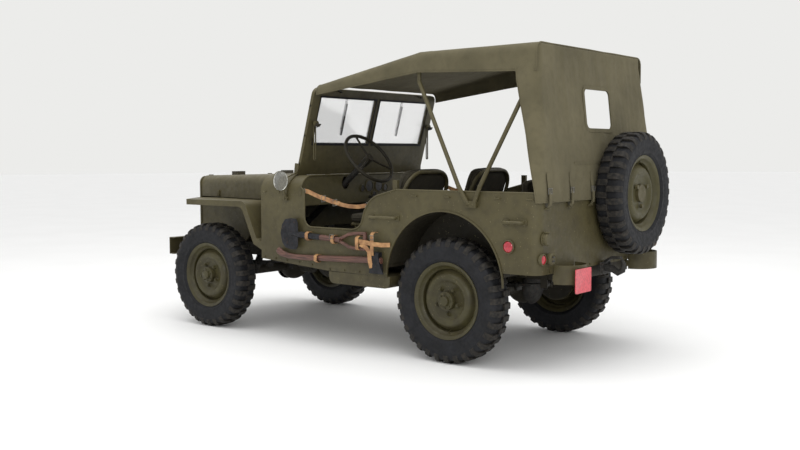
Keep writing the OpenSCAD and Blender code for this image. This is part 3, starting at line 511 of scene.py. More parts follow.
def bolt(mesh, place, out, radius=9, height=7):
    """a washer and a hexagon head at place, standing along out"""
    out = Vector(out).normalized()
    rod(mesh, place, place + out * 1.6 * MM, radius * 1.35, 16)
    rod(mesh, place + out * 1.6 * MM, place + out * height * MM, radius, 6)


print("shaping tools ready")

# %% [markdown]
# A finished mesh becomes an object at the model's zero, with its place in its points. Doubled
# points are merged and the faces turned outwards before it is written. Sharp edges stay sharp and
# soft ones are shaded smooth. Each piece names the body that it rides on.


def piece(name, mesh, finish, body="chassis", stands_for=(), smooth=38, more_finishes=(), merge=True):
    if merge:
        bmesh.ops.remove_doubles(mesh, verts=mesh.verts, dist=WELD)
        bmesh.ops.recalc_face_normals(mesh, faces=mesh.faces)
    for face in mesh.faces:
        face.smooth = True
    made = new_object(name, mesh)
    made.data.set_sharp_from_angle(angle=math.radians(smooth))
    for material in (finish, *more_finishes):
        made.data.materials.append(material)
    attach(made, body)
    if stands_for:
        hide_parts(*stands_for)
    return made


def placed(points):
    return [at(*p) for p in points]


# %% [markdown]
# ## Tyres
# The tyres are 6.00-16 military ones. Their tread has square bars that reach from the middle over
# the shoulder, staggered left and right, so that they grip alike both ways. The carcass is turned
# from a profile. One bar is swept along a short arc, its edges are broken, and it
# is copied round. The same pattern then serves all five wheels.

# %% Tyre pattern
BARS = 31
BAR_FOOT = 343
CARCASS = [(203.5, 56), (221, 58), (226, 67), (236, 72.5), (240, 75.5), (244, 74), (262, 77), (284, 79.3),
           (300, 79.5), (304, 80), (308, 79), (322, 76.5), (334, 71), (341, 62), (344, 40), (345, 0)]
carcass_loop = CARCASS + [(r, -h) for r, h in reversed(CARCASS[:-1])]
tyre_mesh = bmesh.new()
turned(tyre_mesh, carcass_loop, Matrix.Identity(4), 108, loop=True)
BAR = [(-3, 0), (-3, 14.5), (46, 14.0), (62, 9.5), (73, -3), (79.5, -21), (80.3, -33), (74, -34), (60, -14),
       (50, -4)]
ARC = 0.100
for side_sign in (1, -1):
    bar_mesh = bmesh.new()
    section = [(side_sign * a, b) for a, b in BAR]
    arc_path = [Vector((BAR_FOOT * MM * math.cos(t), BAR_FOOT * MM * math.sin(t), 0))
                for t in (-ARC / 2, 0, ARC / 2)]
    sweep(bar_mesh, section, arc_path)
    bmesh.ops.recalc_face_normals(bar_mesh, faces=bar_mesh.faces)
    corners = [e for e in bar_mesh.edges if e.is_manifold and e.calc_face_angle(0) > 0.6]
    bmesh.ops.bevel(bar_mesh, geom=corners, offset=1.6 * MM, affect="EDGES", segments=1, profile=0.5,
                    material=-1)
    for face in bar_mesh.faces:
        face.material_index = 1
    one_bar = bpy.data.meshes.new("one_bar")
    bar_mesh.to_mesh(one_bar)
    bar_mesh.free()
    for i in range(BARS):
        before = set(tyre_mesh.verts)
        tyre_mesh.from_mesh(one_bar)
        turn = Matrix.Rotation(2 * math.pi * (i + (0.5 if side_sign < 0 else 0)) / BARS, 4, "Z")
        bmesh.ops.transform(tyre_mesh, matrix=turn, verts=added(tyre_mesh, before))
TYRE_PATTERN = bpy.data.meshes.new("tyre_pattern")
tyre_mesh.to_mesh(TYRE_PATTERN)
print("tyre pattern:", len(tyre_mesh.faces), "faces,", 2 * BARS, "bars")
tyre_mesh.free()

# %% [markdown]
# ## Wheels
# The wheel is one pressed steel disc, welded into a rolled rim with a deep well. Near the hub the
# disc swells out to a round rib and falls back to a flat ring that takes five nuts. The hub's
# flange is closed by a plate with a ring of small bolts, and the brake drum stands behind. All
# round parts are turned; nuts and bolts are six-sided rods.

# %% Wheel pattern
RIM = [(221, 64.5), (222, 61), (217, 58), (207, 55.5), (203, 50), (201, 42), (186, 30), (184, 22), (184, -22),
       (186, -30), (201, -42), (203, -50), (207, -55.5), (217, -58), (222, -61), (221, -64.5)]
rim_loop = RIM + [(216, -62), (205, -59.5), (198, -52), (196, -44), (181, -32), (179, -22), (179, 22),
                  (181, 32), (196, 44), (198, 52), (205, 59.5), (216, 62)]
DISC = [(184, 2), (180, 8), (172, 12), (163, 26), (154, 40), (144, 49), (132, 52.5), (120, 50), (110, 42),
        (102, 37), (54, 36)]
disc_loop = DISC + [(54, 32), (101, 33), (108, 37.5), (119, 45.5), (132, 48), (142, 45), (151, 36.5),
                    (160, 23), (169, 8), (178, 3.5)]
HUB = [(0, 90), (22, 89.5), (27, 87), (29, 83), (30, 70), (47, 69.5), (52, 67), (53, 60), (53, 30),
       (40, 30), (0, 30)]
WHEEL_NUTS, NUT_CIRCLE, HUB_BOLTS, HUB_CIRCLE = 5, 76, 8, 40
DRUM = [(135, -14), (138, -20), (138, -58), (142, -62), (142, -66), (95, -66), (95, -14)]


def around_axle(angle, radius, height):
    return Matrix.Rotation(angle, 4, "Z") @ Vector((radius * MM, 0, height * MM))


def wheel_mesh(with_hub):
    mesh = bmesh.new()
    for loop in (rim_loop, disc_loop):
        turned(mesh, loop, Matrix.Identity(4), 96, loop=True)
    valve = Vector((170 * MM, 0, 8 * MM))
    rod(mesh, valve, valve + Vector((14 * MM, 0, 34 * MM)), 4, 10)
    if with_hub:
        turned(mesh, HUB, Matrix.Identity(4), 48)
        turned(mesh, DRUM, Matrix.Identity(4), 64, loop=True)
        for i in range(WHEEL_NUTS):
            spot = around_axle(2 * math.pi * i / WHEEL_NUTS, NUT_CIRCLE, 36)
            rod(mesh, spot, spot + Vector((0, 0, 6 * MM)), 15, 16, 12)
            rod(mesh, spot + Vector((0, 0, 5 * MM)), spot + Vector((0, 0, 19 * MM)), 11, 6)
            rod(mesh, spot + Vector((0, 0, 18 * MM)), spot + Vector((0, 0, 25 * MM)), 5.5, 10)
        for i in range(HUB_BOLTS):
            spot = around_axle(2 * math.pi * i / HUB_BOLTS, HUB_CIRCLE, 69)
            rod(mesh, spot, spot + Vector((0, 0, 6 * MM)), 5.5, 6)
    return mesh


WHEELS = {}
for name, with_hub in (("road_wheel", True), ("spare", False)):
    made = wheel_mesh(with_hub)
    bmesh.ops.remove_doubles(made, verts=made.verts, dist=WELD)
    WHEELS[name] = bpy.data.meshes.new(name + "_pattern")
    print(name, len(made.faces), "faces")
    made.to_mesh(WHEELS[name])
    made.free()

# %% [markdown]
# A pattern's axle is its Z, with the outer side up. It is carried to each corner by turning Z
# outwards, and to the spare's place by turning Z backwards. Each tyre also gets its own
# turn about the axle, because no two stop with their bars alike.

# %% Place tyres and wheels
def carried(pattern, place):
    mesh = bmesh.new()
    mesh.from_mesh(pattern)
    bmesh.ops.transform(mesh, matrix=place, verts=mesh.verts)
    return mesh


def outward(side_sign):
    return Matrix.Rotation(-side_sign * math.pi / 2, 4, "X")


for i, (end, side_name, side_sign) in enumerate(
        (e, s, g) for e in ("front", "rear") for s, g in (("left", 1), ("right", -1))):
    corner_name = f"{end}_{side_name}"
    own_turn = Matrix.Rotation(0.7 * i + 0.2, 4, "Z")
    place = Matrix.Translation(middle("tyre_" + corner_name)) @ outward(side_sign) @ own_turn
    piece("bar_tread_tyre_" + corner_name, carried(TYRE_PATTERN, place), SIDEWALL, "wheel_" + corner_name,
          ("tyre_" + corner_name,), more_finishes=(TREAD,))
    piece("disc_wheel_" + corner_name, carried(WHEELS["road_wheel"], place), RIM_PAINT,
          "wheel_" + corner_name, ("wheel_" + corner_name,))
backward = Matrix.Rotation(-math.pi / 2, 4, "Y")
spare_place = Matrix.Translation(middle("spare_tyre")) @ backward @ Matrix.Rotation(0.05, 4, "Z")
piece("bar_tread_tyre_spare", carried(TYRE_PATTERN, spare_place), SIDEWALL, "chassis", ("spare_tyre",),
      more_finishes=(TREAD,))
piece("disc_wheel_spare", carried(WHEELS["spare"], spare_place), RIM_PAINT, "chassis", ("spare_wheel",))
print("five tyres and wheels placed")

# %% [markdown]
# ## The canvas roof
# The roof is one sheet of duck. It is held by the windscreen at the front and pulled over two
# bows, so its section hardly changes: flat on top, round at the shoulders, and hanging as a
# valance on each side. It starts as a flat grid, and every point of the grid is moved to where that
# bit of cloth lies, a little slack between the bows. The UV map keeps the flat place of each point.

# %% Roof section
ROOF_HALF, SHOULDER, CLOTH_THICK = 630.0, 46.0, 2.2
# x, height of the top and drop of the valance at the windscreen, the front bow and the rear bow
STATIONS = [(20.0, 1620.0, 60.0), (-774.0, 1772.0, 116.0), (REAR + 70.0, 1774.0, 150.0)]


def between(low, high, share):
    return low + (high - low) * share


def roof_station(share):
    """x, top, drop and slack at a share of the way back, with the front bow at a half"""
    first, second = (STATIONS[0], STATIONS[1]) if share < 0.5 else (STATIONS[1], STATIONS[2])
    part = share * 2 if share < 0.5 else share * 2 - 1
    x, top, drop = (between(a, b, part) for a, b in zip(first, second))
    return x, top, drop, math.sin(math.pi * part) ** 2


def roof_point(share, across):
    """a point of the roof; across runs from -1 at the right hem to 1 at the left hem"""
    x, top, drop, slack = roof_station(share)
    flat, bend = ROOF_HALF - SHOULDER, math.pi / 2 * SHOULDER
    length = flat + bend + drop - SHOULDER
    way, sign = abs(across) * length, 1 if across >= 0 else -1
    if way <= flat:
        y, z = way, top - 9 * slack * (1 - (way / flat) ** 2)
    elif way <= flat + bend:
        angle = (way - flat) / SHOULDER
        y, z = flat + SHOULDER * math.sin(angle), top - SHOULDER * (1 - math.cos(angle))
    else:
        hang = way - flat - bend
        y, z = ROOF_HALF - 5 * slack * hang / 100, top - SHOULDER - hang
    crease = noise.noise(Vector((x / 130, sign * way / 190, 3.1))) * 3
    crease += noise.noise(Vector((x / 45, way / 160, sign * 7))) * 1.2
    return x, sign * y, z + (crease if way <= flat else 0), sign * way, crease


def grid_sheet(columns, rows, mapping):
    """a flat grid whose point (u, v) is moved to mapping(u, v), with u and v from 0 to 1"""
    mesh = bmesh.new()
    uv = mesh.loops.layers.uv.new("flat")
    bmesh.ops.create_grid(mesh, x_segments=columns, y_segments=rows, size=0.5)
    flat_places = {}
    for v in mesh.verts:
        place, flat_place = mapping(v.co.x + 0.5, v.co.y + 0.5)
        flat_places[v] = flat_place
        v.co = place
    for face in mesh.faces:
        for loop in face.loops:
            loop[uv].uv = flat_places[loop.vert]
    area = sum(face.calc_area() for face in mesh.faces)
    return mesh, area


def thicken(sheet, offset):
    """offset puts the cloth's thickness inside the sheet at -1 and half on each side at 0"""
    cloth = sheet.modifiers.new("cloth_thickness", "SOLIDIFY")
    cloth.thickness, cloth.offset = CLOTH_THICK * MM, offset


def roof_map(u, v):
    x, y, z, way, crease = roof_point(u, 2 * v - 1)
    if abs(way) > ROOF_HALF:
        y += crease * 1.2 * (1 if y > 0 else -1)
    return at(x, y, z), (way * MM, (STATIONS[0][0] - x) * MM)


roof_mesh, roof_area = grid_sheet(90, 110, roof_map)
canvas_roof = piece("canvas_roof", roof_mesh, CANVAS, "chassis", ("canvas_top",), smooth=80, merge=False)
thicken(canvas_roof, -1)

# %% [markdown]
# ## The rear curtain
# The curtain hangs from the roof's rear edge, goes round both corners and ends in two flaps that
# are cut slanting. It widens downwards, because the tub is wider than the roof. As with the roof,
# a flat grid is moved to its place: across it goes round the car, and upwards it follows the slant.
# The rear window is cut out with a rounded block.

# %% Curtain shape
HEM_LOW, TUB_EDGE, ROOF_JOINT = 928.0, 988.0, 1715.0
CURTAIN_TOP, ROOF_TOP = 1770.0, 1772.0
FLAP_EDGE = [(928.0, 16.0), (1000.0, 24.0), (1307.0, 99.0), (1624.0, 190.0), (1775.0, 215.0)]


def flap_front(z):
    for (z0, x0), (z1, x1) in zip(FLAP_EDGE, FLAP_EDGE[1:]):
        if z <= z1:
            return REAR + between(x0, x1, (z - z0) / (z1 - z0))
    return REAR + FLAP_EDGE[-1][1]


def slant_at(z):
    """how far the curtain has leaned in: 0 at the tub's edge and 1 where it meets the roof"""
    return min(1.0, max(0.0, (z - TUB_EDGE) / (ROOF_JOINT - TUB_EDGE)))


def curtain_surface(z):
    """the x of the curtain's rear face at a height"""
    return between(REAR - 11, REAR + 70, slant_at(z))


def curtain_point(around, share_up):
    z = between(HEM_LOW, CURTAIN_TOP, share_up)
    slant, back = slant_at(z), curtain_surface(z)
    half = between(TUB_HALF + 9, ROOF_HALF - 5, slant)
    radius = between(68, 44, slant)
    flat, bend = half - radius, math.pi / 2 * radius
    side = flap_front(z) - back - radius
    if side >= 0:
        length = flat + bend + side
    else:
        length = flat + radius * math.acos(1 - (flap_front(z) - back) / radius)
    way, sign = abs(around) * length, 1 if around >= 0 else -1
    if way <= flat:
        x, y, out = back, way, (-1, 0)
    elif way <= flat + bend:
        angle = (way - flat) / radius
        x, y = back + radius * (1 - math.cos(angle)), flat + radius * math.sin(angle)
        out = (-math.cos(angle), math.sin(angle))
    else:
        x, y, out = back + radius + way - flat - bend, half, (0, 1)
    ceiling = ROOF_TOP
    if y >= ROOF_HALF - SHOULDER:
        into_bend = min(y, ROOF_HALF) - ROOF_HALF + SHOULDER
        ceiling = ROOF_TOP - SHOULDER + math.sqrt(max(0.0, SHOULDER ** 2 - into_bend ** 2))
    z = between(HEM_LOW, ceiling - 3, share_up)
    folds = 4.0 * noise.noise(Vector((sign * way / 80, z / 330, 1.7)))
    folds += 2.2 * noise.noise(Vector((sign * way / 34, z / 150, 9.2)))
    # strap pulls gather the cloth into small pleats low down
    low_down = max(0.0, 1 - (z - HEM_LOW) / 230)
    uneven = 0.4 + 0.6 * abs(noise.noise(Vector((way / 90, sign, 0))))
    folds += 2.5 * math.sin(sign * way / 21) * low_down * uneven
    held = min(1.0, (ROOF_TOP - z) / 60)
    return Vector((x + out[0] * folds * held, sign * (y + out[1] * folds * held), z)), sign * way


def curtain_map(u, v):
    point, way = curtain_point(2 * u - 1, v)
    return at(*point), (way * MM, point.z * MM)


curtain_mesh, curtain_area = grid_sheet(190, 96, curtain_map)
rear_curtain = piece("rear_curtain", curtain_mesh, CANVAS, "chassis", smooth=80, merge=False)
thicken(rear_curtain, 0)
print("curtain area", round(curtain_area, 3), "m2")

# %% [markdown]
# The window's cutter is a block with four rounded edges. A boolean modifier takes it out of the
# thick cloth. The result is written to the mesh and the cutter is thrown away, so no hidden
# helper stays in the model. The opening is bound with a strip that is folded over the raw edge.

# %% Rear window
WINDOW_HALF, WINDOW_LOW, WINDOW_HIGH, WINDOW_ROUND = 160.0, 1320.0, 1556.0, 42.0
cutter_mesh = bmesh.new()
block(cutter_mesh, (REAR - 60, -WINDOW_HALF, WINDOW_LOW), (REAR + 160, WINDOW_HALF, WINDOW_HIGH), 0)
long_edges = [e for e in cutter_mesh.edges if abs((e.verts[0].co - e.verts[1].co).x) > 0.1]
bmesh.ops.bevel(cutter_mesh, geom=long_edges, offset=WINDOW_ROUND * MM, affect="EDGES", segments=8,
                profile=0.5, material=-1)
cutter = new_object("window_cutter", cutter_mesh)
cut = rear_curtain.modifiers.new("window", "BOOLEAN")
cut.operation, cut.object, cut.solver = "DIFFERENCE", cutter, "EXACT"
whole = rear_curtain.evaluated_get(bpy.context.evaluated_depsgraph_get())
cut_data = bpy.data.meshes.new_from_object(whole)
rear_curtain.modifiers.clear()
rear_curtain.data = cut_data
bpy.data.objects.remove(cutter)


def rounded_outline(half, low, high, radius, steps=7):
    spots = []
    for cy, cz, start in ((half - radius, high - radius, 0), (-half + radius, high - radius, 1),
                          (-half + radius, low + radius, 2), (half - radius, low + radius, 3)):
        for i in range(steps + 1):
            angle = math.pi / 2 * (start + i / steps)
            spots.append((cy + radius * math.cos(angle), cz + radius * math.sin(angle)))
    return spots


trim_mesh = bmesh.new()
outline = rounded_outline(WINDOW_HALF + 3, WINDOW_LOW - 3, WINDOW_HIGH + 3, WINDOW_ROUND)
binding = placed([(curtain_surface(z), y, z) for y, z in outline])
sweep(trim_mesh, strap_section(9, 22), binding, (1, 0, 0), closed=True)
piece("window_binding", trim_mesh, CANVAS)
print("window cut and bound")

# %% [markdown]
# The cloth's edges are turned over a cord and sewn, which shows as a round hem. The hems are
# swept along the same sections that shaped the sheets, so they follow each fold.

# %% Hems and seams
hem_mesh = bmesh.new()
for sign in (1, -1):
    sweep(hem_mesh, ring_section(4), [roof_map(i / 60, 0.5 + sign * 0.5)[0] for i in range(61)])
    sweep(hem_mesh, ring_section(3.5), [curtain_map(0.5 + sign * 0.5, i / 60)[0] for i in range(59)],
          (0, 1, 0))
for share in (0.002, 0.998):
    sweep(hem_mesh, ring_section(4.5), [roof_map(share, i / 80)[0] for i in range(81)], (1, 0, 0))
sweep(hem_mesh, ring_section(3.5), [curtain_map(i / 120, 0.004)[0] for i in range(121)])
hems = piece("canvas_hems", hem_mesh, CANVAS)
seam_mesh = bmesh.new()
for across in (0.285, 0.715):
    seam = [roof_map(i / 60, across)[0] + Vector((0, 0, 0.001)) for i in range(1, 60)]
    sweep(seam_mesh, strap_section(3, 16), seam)
seam = [curtain_map(0.5 + 0.46 * (i / 50 - 0.5), 0.245)[0] + Vector((-0.002, 0, 0)) for i in range(51)]
sweep(seam_mesh, strap_section(14, 3), seam)
seams = piece("canvas_seams", seam_mesh, CANVAS)

# %% [markdown]
# ## Seat cushions
# The seats are flat pads of horsehair under dark canvas. A pad is fullest in its middle, its sides
# pull in between the corners, and a piped seam runs round its edge. A block is divided into a fine
# grid and its points are moved by that rule. The cloth needs a flat map for its weave, which
# is taken from the side that each face looks to.


# %% Pads
def cloth_map(mesh):
    layer = mesh.loops.layers.uv.new("flat")
    for face in mesh.faces:
        away = max(range(3), key=lambda i: abs(face.normal[i]))
        keep = [i for i in range(3) if i != away]
        for loop in face.loops:
            loop[layer].uv = (loop.vert.co[keep[0]], loop.vert.co[keep[1]])


def rounded(a, b, power):
    """a point of a square, pulled in so that the square's corners turn round"""
    reach = max(abs(a), abs(b))
    if reach < 1e-6:
        return a, b
    shrink = reach / (abs(a) ** power + abs(b) ** power) ** (1 / power)
    factor = 1 + (shrink - 1) * reach ** 2
    return a * factor, b * factor


def pad(name, centre, size, lean=0.0, crown=0.3, power=9):
    """size is along the car, across it and thick, in mm; lean tips the pad back in degrees"""
    mesh = bmesh.new()
    bmesh.ops.create_cube(mesh, size=2.0)
    bmesh.ops.subdivide_edges(mesh, edges=mesh.edges, cuts=15, use_grid_fill=True)
    for v in mesh.verts:
        a, b, c = v.co
        soft = (1 - abs(a) ** 5) * (1 - abs(b) ** 5)
        wrinkle = 0.03 * noise.noise(Vector((a * 3, b * 3, c + centre[1])))
        x, y = rounded(a, b, power)
        v.co = (x * (1 - 0.035 * (1 - b * b) - 0.04 * c * c * abs(a) ** 6),
                y * (1 - 0.03 * (1 - a * a) - 0.03 * c * c * abs(b) ** 6),
                c * (1 - crown + crown * soft) + wrinkle * soft)
    edge = [(1.0, i / 16 - 1) for i in range(32)]
    square = edge + [(-y, x) for x, y in edge] + [(-x, -y) for x, y in edge] + [(y, -x) for x, y in edge]
    rim = [Vector((0.985 * x, 0.985 * y, 0)) for x, y in (rounded(a, b, power) for a, b in square)]
    place = (Matrix.Translation(at(*centre)) @ Matrix.Rotation(math.radians(lean), 4, "Y")
             @ Matrix.Diagonal((size[0] / 2 * MM, size[1] / 2 * MM, size[2] / 2 * MM, 1)))
    bmesh.ops.transform(mesh, matrix=place, verts=mesh.verts)
    sweep(mesh, ring_section(4, 8), [place @ p for p in rim], (0, 0, 1), closed=True)
    mesh.normal_update()
    cloth_map(mesh)
    made = piece(name, mesh, SEAT_CANVAS, smooth=80)
    softened = made.modifiers.new("softened", "SUBSURF")
    softened.levels = softened.render_levels = 1
    return made


BACK_LEAN = 19
SEATS = {"driver": 335, "mate": -380}
for label, y in SEATS.items():
    pad(f"{label}_seat_pad", (-343, y, 792), (362, 424, 62))
    pad(f"{label}_back_pad", (-574, y, 958), (286, 424, 74), 90 - BACK_LEAN, power=4.5)
pad("rear_seat_pad", (-1175, 0, 795), (346, 876, 66))
pad("rear_back_pad", (-1368, 0, 936), (206, 876, 60), 90)
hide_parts("seat_cushions")

# %% [markdown]
# Each front seat stands on one bent steel tube. It runs back under the cushion, turns up, and goes over
# the back in a hoop with round corners, so the pad is held inside it. Short legs carry it.


# %% Seat tubes
def back_point(across, along, y):
    lean = math.radians(BACK_LEAN)
    return at(-556 - math.sin(lean) * along, y + across, 800 + math.cos(lean) * along)


hoop_mesh = bmesh.new()
HOOP_HALF, HOOP_HIGH, HOOP_BEND = 212, 292, 125
for y in SEATS.values():
    line = [at(-172, y + 175, 748), at(-520, y + 178, 748), at(-545, y + 200, 755)]
    line += [back_point(HOOP_HALF, -30, y), back_point(HOOP_HALF, 60, y)]
    for t in swing(math.pi / 2, 10):
        line.append(back_point(HOOP_HALF - HOOP_BEND + HOOP_BEND * math.cos(t),
                               HOOP_HIGH - HOOP_BEND + HOOP_BEND * math.sin(t), y))
    line += [Vector((p.x, 2 * at(0, y, 0).y - p.y, p.z)) for p in reversed(line)]
    sweep(hoop_mesh, ring_section(12.5, 14), line, (1, 0, 0))
    rod(hoop_mesh, at(-172, y - 178, 748), at(-172, y + 178, 748), 12, 14)
    rod(hoop_mesh, at(-530, y - 180, 748), at(-530, y + 180, 748), 10, 14)
    for x in (-200, -520):
        for across in (-175, 175):
            rod(hoop_mesh, at(x, y + across, 545), at(x, y + across, 745), 11, 12)
piece("front_seat_tubes", hoop_mesh, OLIVE, "chassis", ("front_seat_frames",), smooth=60)
print("seat tubes made")

# %% [markdown]
# ## Curtain straps
# Webbing straps with small roller buckles pull the curtain down to footman loops on the tub. Each is
# a swept strip that follows the curtain's slant, with a wire buckle and a loose tongue.

# %% Webbing and buckles
LOOP_HIGH, SIDE_LOOP_HIGH = 897, 948
strap_mesh, buckle_mesh, loop_mesh = bmesh.new(), bmesh.new(), bmesh.new()
for y in (640, 400, 160, -160, -400, -640):
    line = [(curtain_surface(z) - 7 - 2 * math.sin((z - 905) / 30), y, z) for z in range(1085, 950, -15)]
    line += [(REAR - 20, y, 945), (REAR - 19, y, 925), (REAR - 12, y, 908), (REAR - 6, y, LOOP_HIGH)]
    sweep(strap_mesh, strap_section(26, 3), placed(line), (0, 1, 0))
    tongue = [(REAR - 17, y + 2, 995), (REAR - 25, y + 3, 970), (REAR - 27, y + 5, 940),
              (REAR - 24, y + 4, 915)]
    sweep(strap_mesh, strap_section(22, 2.6), placed(tongue), (0, 1, 0))
    frame_line = [(REAR - 21, y + a, 990 + b) for a, b in ((-18, -14), (18, -14), (18, 14), (-18, 14))]
    sweep(buckle_mesh, ring_section(2.6, 8), placed(frame_line), (1, 0, 0), closed=True)
    sweep(buckle_mesh, ring_section(2.2, 8), placed([(REAR - 23, y, 1004), (REAR - 25, y, 974)]), (1, 0, 0))
    staple = [(REAR - 1, y - 20), (REAR - 12, y - 18), (REAR - 12, y + 18), (REAR - 1, y + 20)]
    sweep(loop_mesh, ring_section(3.5, 8), placed([(x, across, LOOP_HIGH) for x, across in staple]),
          (0, 0, 1))
strap_mesh.normal_update()
cloth_map(strap_mesh)
piece("curtain_straps", strap_mesh, CANVAS)
piece("curtain_buckles", buckle_mesh, STEEL)
for sign in (1, -1):
    for x in (-1590, -1390, -1060, -830):
        staple = [(-18, TUB_HALF - 1), (-16, TUB_HALF + 10), (16, TUB_HALF + 10), (18, TUB_HALF - 1)]
        side_line = [(x + dx, sign * y, SIDE_LOOP_HIGH) for dx, y in staple]
        sweep(loop_mesh, ring_section(3.2, 8), placed(side_line))
piece("footman_loops", loop_mesh, OLIVE)
print("curtain straps made")

# %% [markdown]
# ## Door straps
# A strap of tan leather closes each door opening. It hangs from a ring at the cowl, sags, and is
# hooked behind the seat. Old straps curl, so the strip turns a little along its way. Two
# buckles sit on it, and a doubled length lies along its middle.

# %% Leather door straps
leather_mesh, ring_mesh = bmesh.new(), bmesh.new()
STRAP_LINE = [(46, 960), (10, 955), (-40, 938), (-95, 921), (-170, 901), (-250, 885), (-320, 875),
              (-390, 873), (-466, 884)]
for sign in (1, -1):
    y = sign * (TUB_HALF - 10)
    sweep(leather_mesh, strap_section(27, 3.4), placed([(x, y, z) for x, z in STRAP_LINE]), (0, 0, 1),
          twist=sign * 0.7)
    doubled = [(x, y + sign * 5, z + 5) for x, z in STRAP_LINE[3:6]]
    sweep(leather_mesh, strap_section(25, 3.2), placed(doubled), (0, 0, 1), twist=-0.5)
    for x, z in ((-120, 915), (-215, 893)):
        square = [(x + a, y + sign * 5, z + b - a * 0.2)
                  for a, b in ((-16, -18), (16, -18), (16, 18), (-16, 18))]
        sweep(ring_mesh, ring_section(2.6, 8), placed(square), (0, 1, 0), closed=True)
    for x, z in ((50, 958), (-468, 884)):
        circle = [(x + 15 * math.cos(t), y, z + 15 * math.sin(t))
                  for t in (math.pi * i / 8 for i in range(16))]
        sweep(ring_mesh, ring_section(3, 8), placed(circle), (0, 1, 0), closed=True)
piece("leather_door_straps", leather_mesh, LEATHER, "chassis", ("safety_straps",), smooth=60)
piece("door_strap_buckles", ring_mesh, STEEL)
print("door straps made")

# %% [markdown]
# ## Shovel and axe
# The tools hang on the left side. The shovel's blade is a dished steel plate with a rolled shoulder,
# riveted to an ash handle with a D grip. The axe has a wedge head and a curved ash
# handle with an oval section. Harness leather holds both to the tub.

# %% Shovel
TOOL_Y = TUB_HALF + 24
BLADE = [(84, 786), (70, 764), (66, 690), (70, 616), (84, 594), (130, 592), (178, 602), (206, 632),
         (221, 690), (206, 748), (178, 780), (130, 788)]
blade_mesh = bmesh.new()
blade_face = blade_mesh.faces.new([blade_mesh.verts.new(at(x, TOOL_Y - 2, z)) for x, z in BLADE])
bmesh.ops.inset_region(blade_mesh, faces=[blade_face], thickness=0.012, depth=0)
bmesh.ops.inset_region(blade_mesh, faces=[f for f in blade_mesh.faces if len(f.verts) > 4], thickness=0.03,
                       depth=-0.006)
bmesh.ops.solidify(blade_mesh, geom=blade_mesh.faces[:], thickness=2.5 * MM)
rod(blade_mesh, at(150, TOOL_Y + 2, 692), at(40, TOOL_Y + 2, 687), 9, 16, 20)
rod(blade_mesh, at(40, TOOL_Y + 2, 687), at(-120, TOOL_Y, 680), 20, 20, 18)
for x in (20, -60):
    bolt(blade_mesh, at(x, TOOL_Y + 18, 684 + x * 0.05), (0, 1, 0), 5, 3)
piece("shovel_blade", blade_mesh, FORGED, "chassis", ("shovel",), smooth=30)
grip_mesh = bmesh.new()
rod(grip_mesh, at(-110, TOOL_Y, 680), at(-285, TOOL_Y, 671), 17, 20, 16)
# x, middle height and half spread of the two branches of the grip
GRIP = [(-270, 671, 5), (-310, 671, 20), (-350, 671, 38), (-410, 672, 45), (-484, 672, 47)]
for way in (-1, 1):
    branch = [(x, TOOL_Y, z + spread * way) for x, z, spread in GRIP]
    sweep(grip_mesh, ring_section(10, 12), placed(branch), (0, 1, 0))
rod(grip_mesh, at(-478, TOOL_Y, 620), at(-478, TOOL_Y, 724), 12, 16)
piece("shovel_handle", grip_mesh, ASH)
print("shovel made")

# %% Axe
axe_mesh = bmesh.new()
AXE_LINE = [(250, 586), (240, 575), (214, 561), (170, 551), (110, 546), (40, 546), (-60, 549), (-200, 554),
            (-350, 559), (-480, 563), (-604, 566)]
oval = [(a * 1.25, b * 0.8) for a, b in ring_section(15, 16)]
swell = [1.15, 1.25, 1.1, 0.95, 0.9, 0.9, 0.92, 0.95, 1.0, 1.0, 1.0]
sweep(axe_mesh, oval, placed([(x, TOOL_Y, z) for x, z in AXE_LINE]), (0, 0, 1), grow=swell)
piece("axe_handle", axe_mesh, ASH, "chassis", ("axe",), smooth=60)
head_mesh = bmesh.new()
HEAD = [(-530, 614, 15), (-532, 590, 17), (-528, 560, 17), (-522, 530, 12), (-508, 486, 1.5)]
HEAD_MIDDLE = -562
before = None
for x, z, t in HEAD:
    far = 2 * HEAD_MIDDLE - x
    corners = ((x, -1), (x, 1), (far, 1), (far, -1))
    ring = [head_mesh.verts.new(at(edge, TOOL_Y + side * t, z)) for edge, side in corners]
    edges = [head_mesh.edges.new((ring[i - 1], ring[i])) for i in range(4)]
    if before:
        bmesh.ops.bridge_loops(head_mesh, edges=before + edges)
    else:
        bmesh.ops.contextual_create(head_mesh, geom=edges)
    before = edges
bmesh.ops.contextual_create(head_mesh, geom=before)
piece("axe_head", head_mesh, FORGED, smooth=25)
print("axe made")

# %% [markdown]
# The straps that hold the tools are short loops of the same tan leather, drawn round the handles
# and buckled, with steel clips bolted to the tub behind them.

# %% Tool straps and clips
STRAP_WIDE, STRAP_PROUD = 24, 21
hold_mesh, clip_mesh = bmesh.new(), bmesh.new()


def wrapped(mesh, x, low, high):
    """a strap that goes round whatever lies between two heights at x"""
    y0, y1 = TUB_HALF + 2, TOOL_Y + STRAP_PROUD
    bulge = (y0 + y1) / 2 + 6
    loop = [(y0, low), (bulge, low - 3), (y1, low + 8), (y1, high - 8), (bulge, high + 3), (y0, high)]
    sweep(mesh, strap_section(STRAP_WIDE, 3.2), placed([(x, y, z) for y, z in loop]), (1, 0, 0))


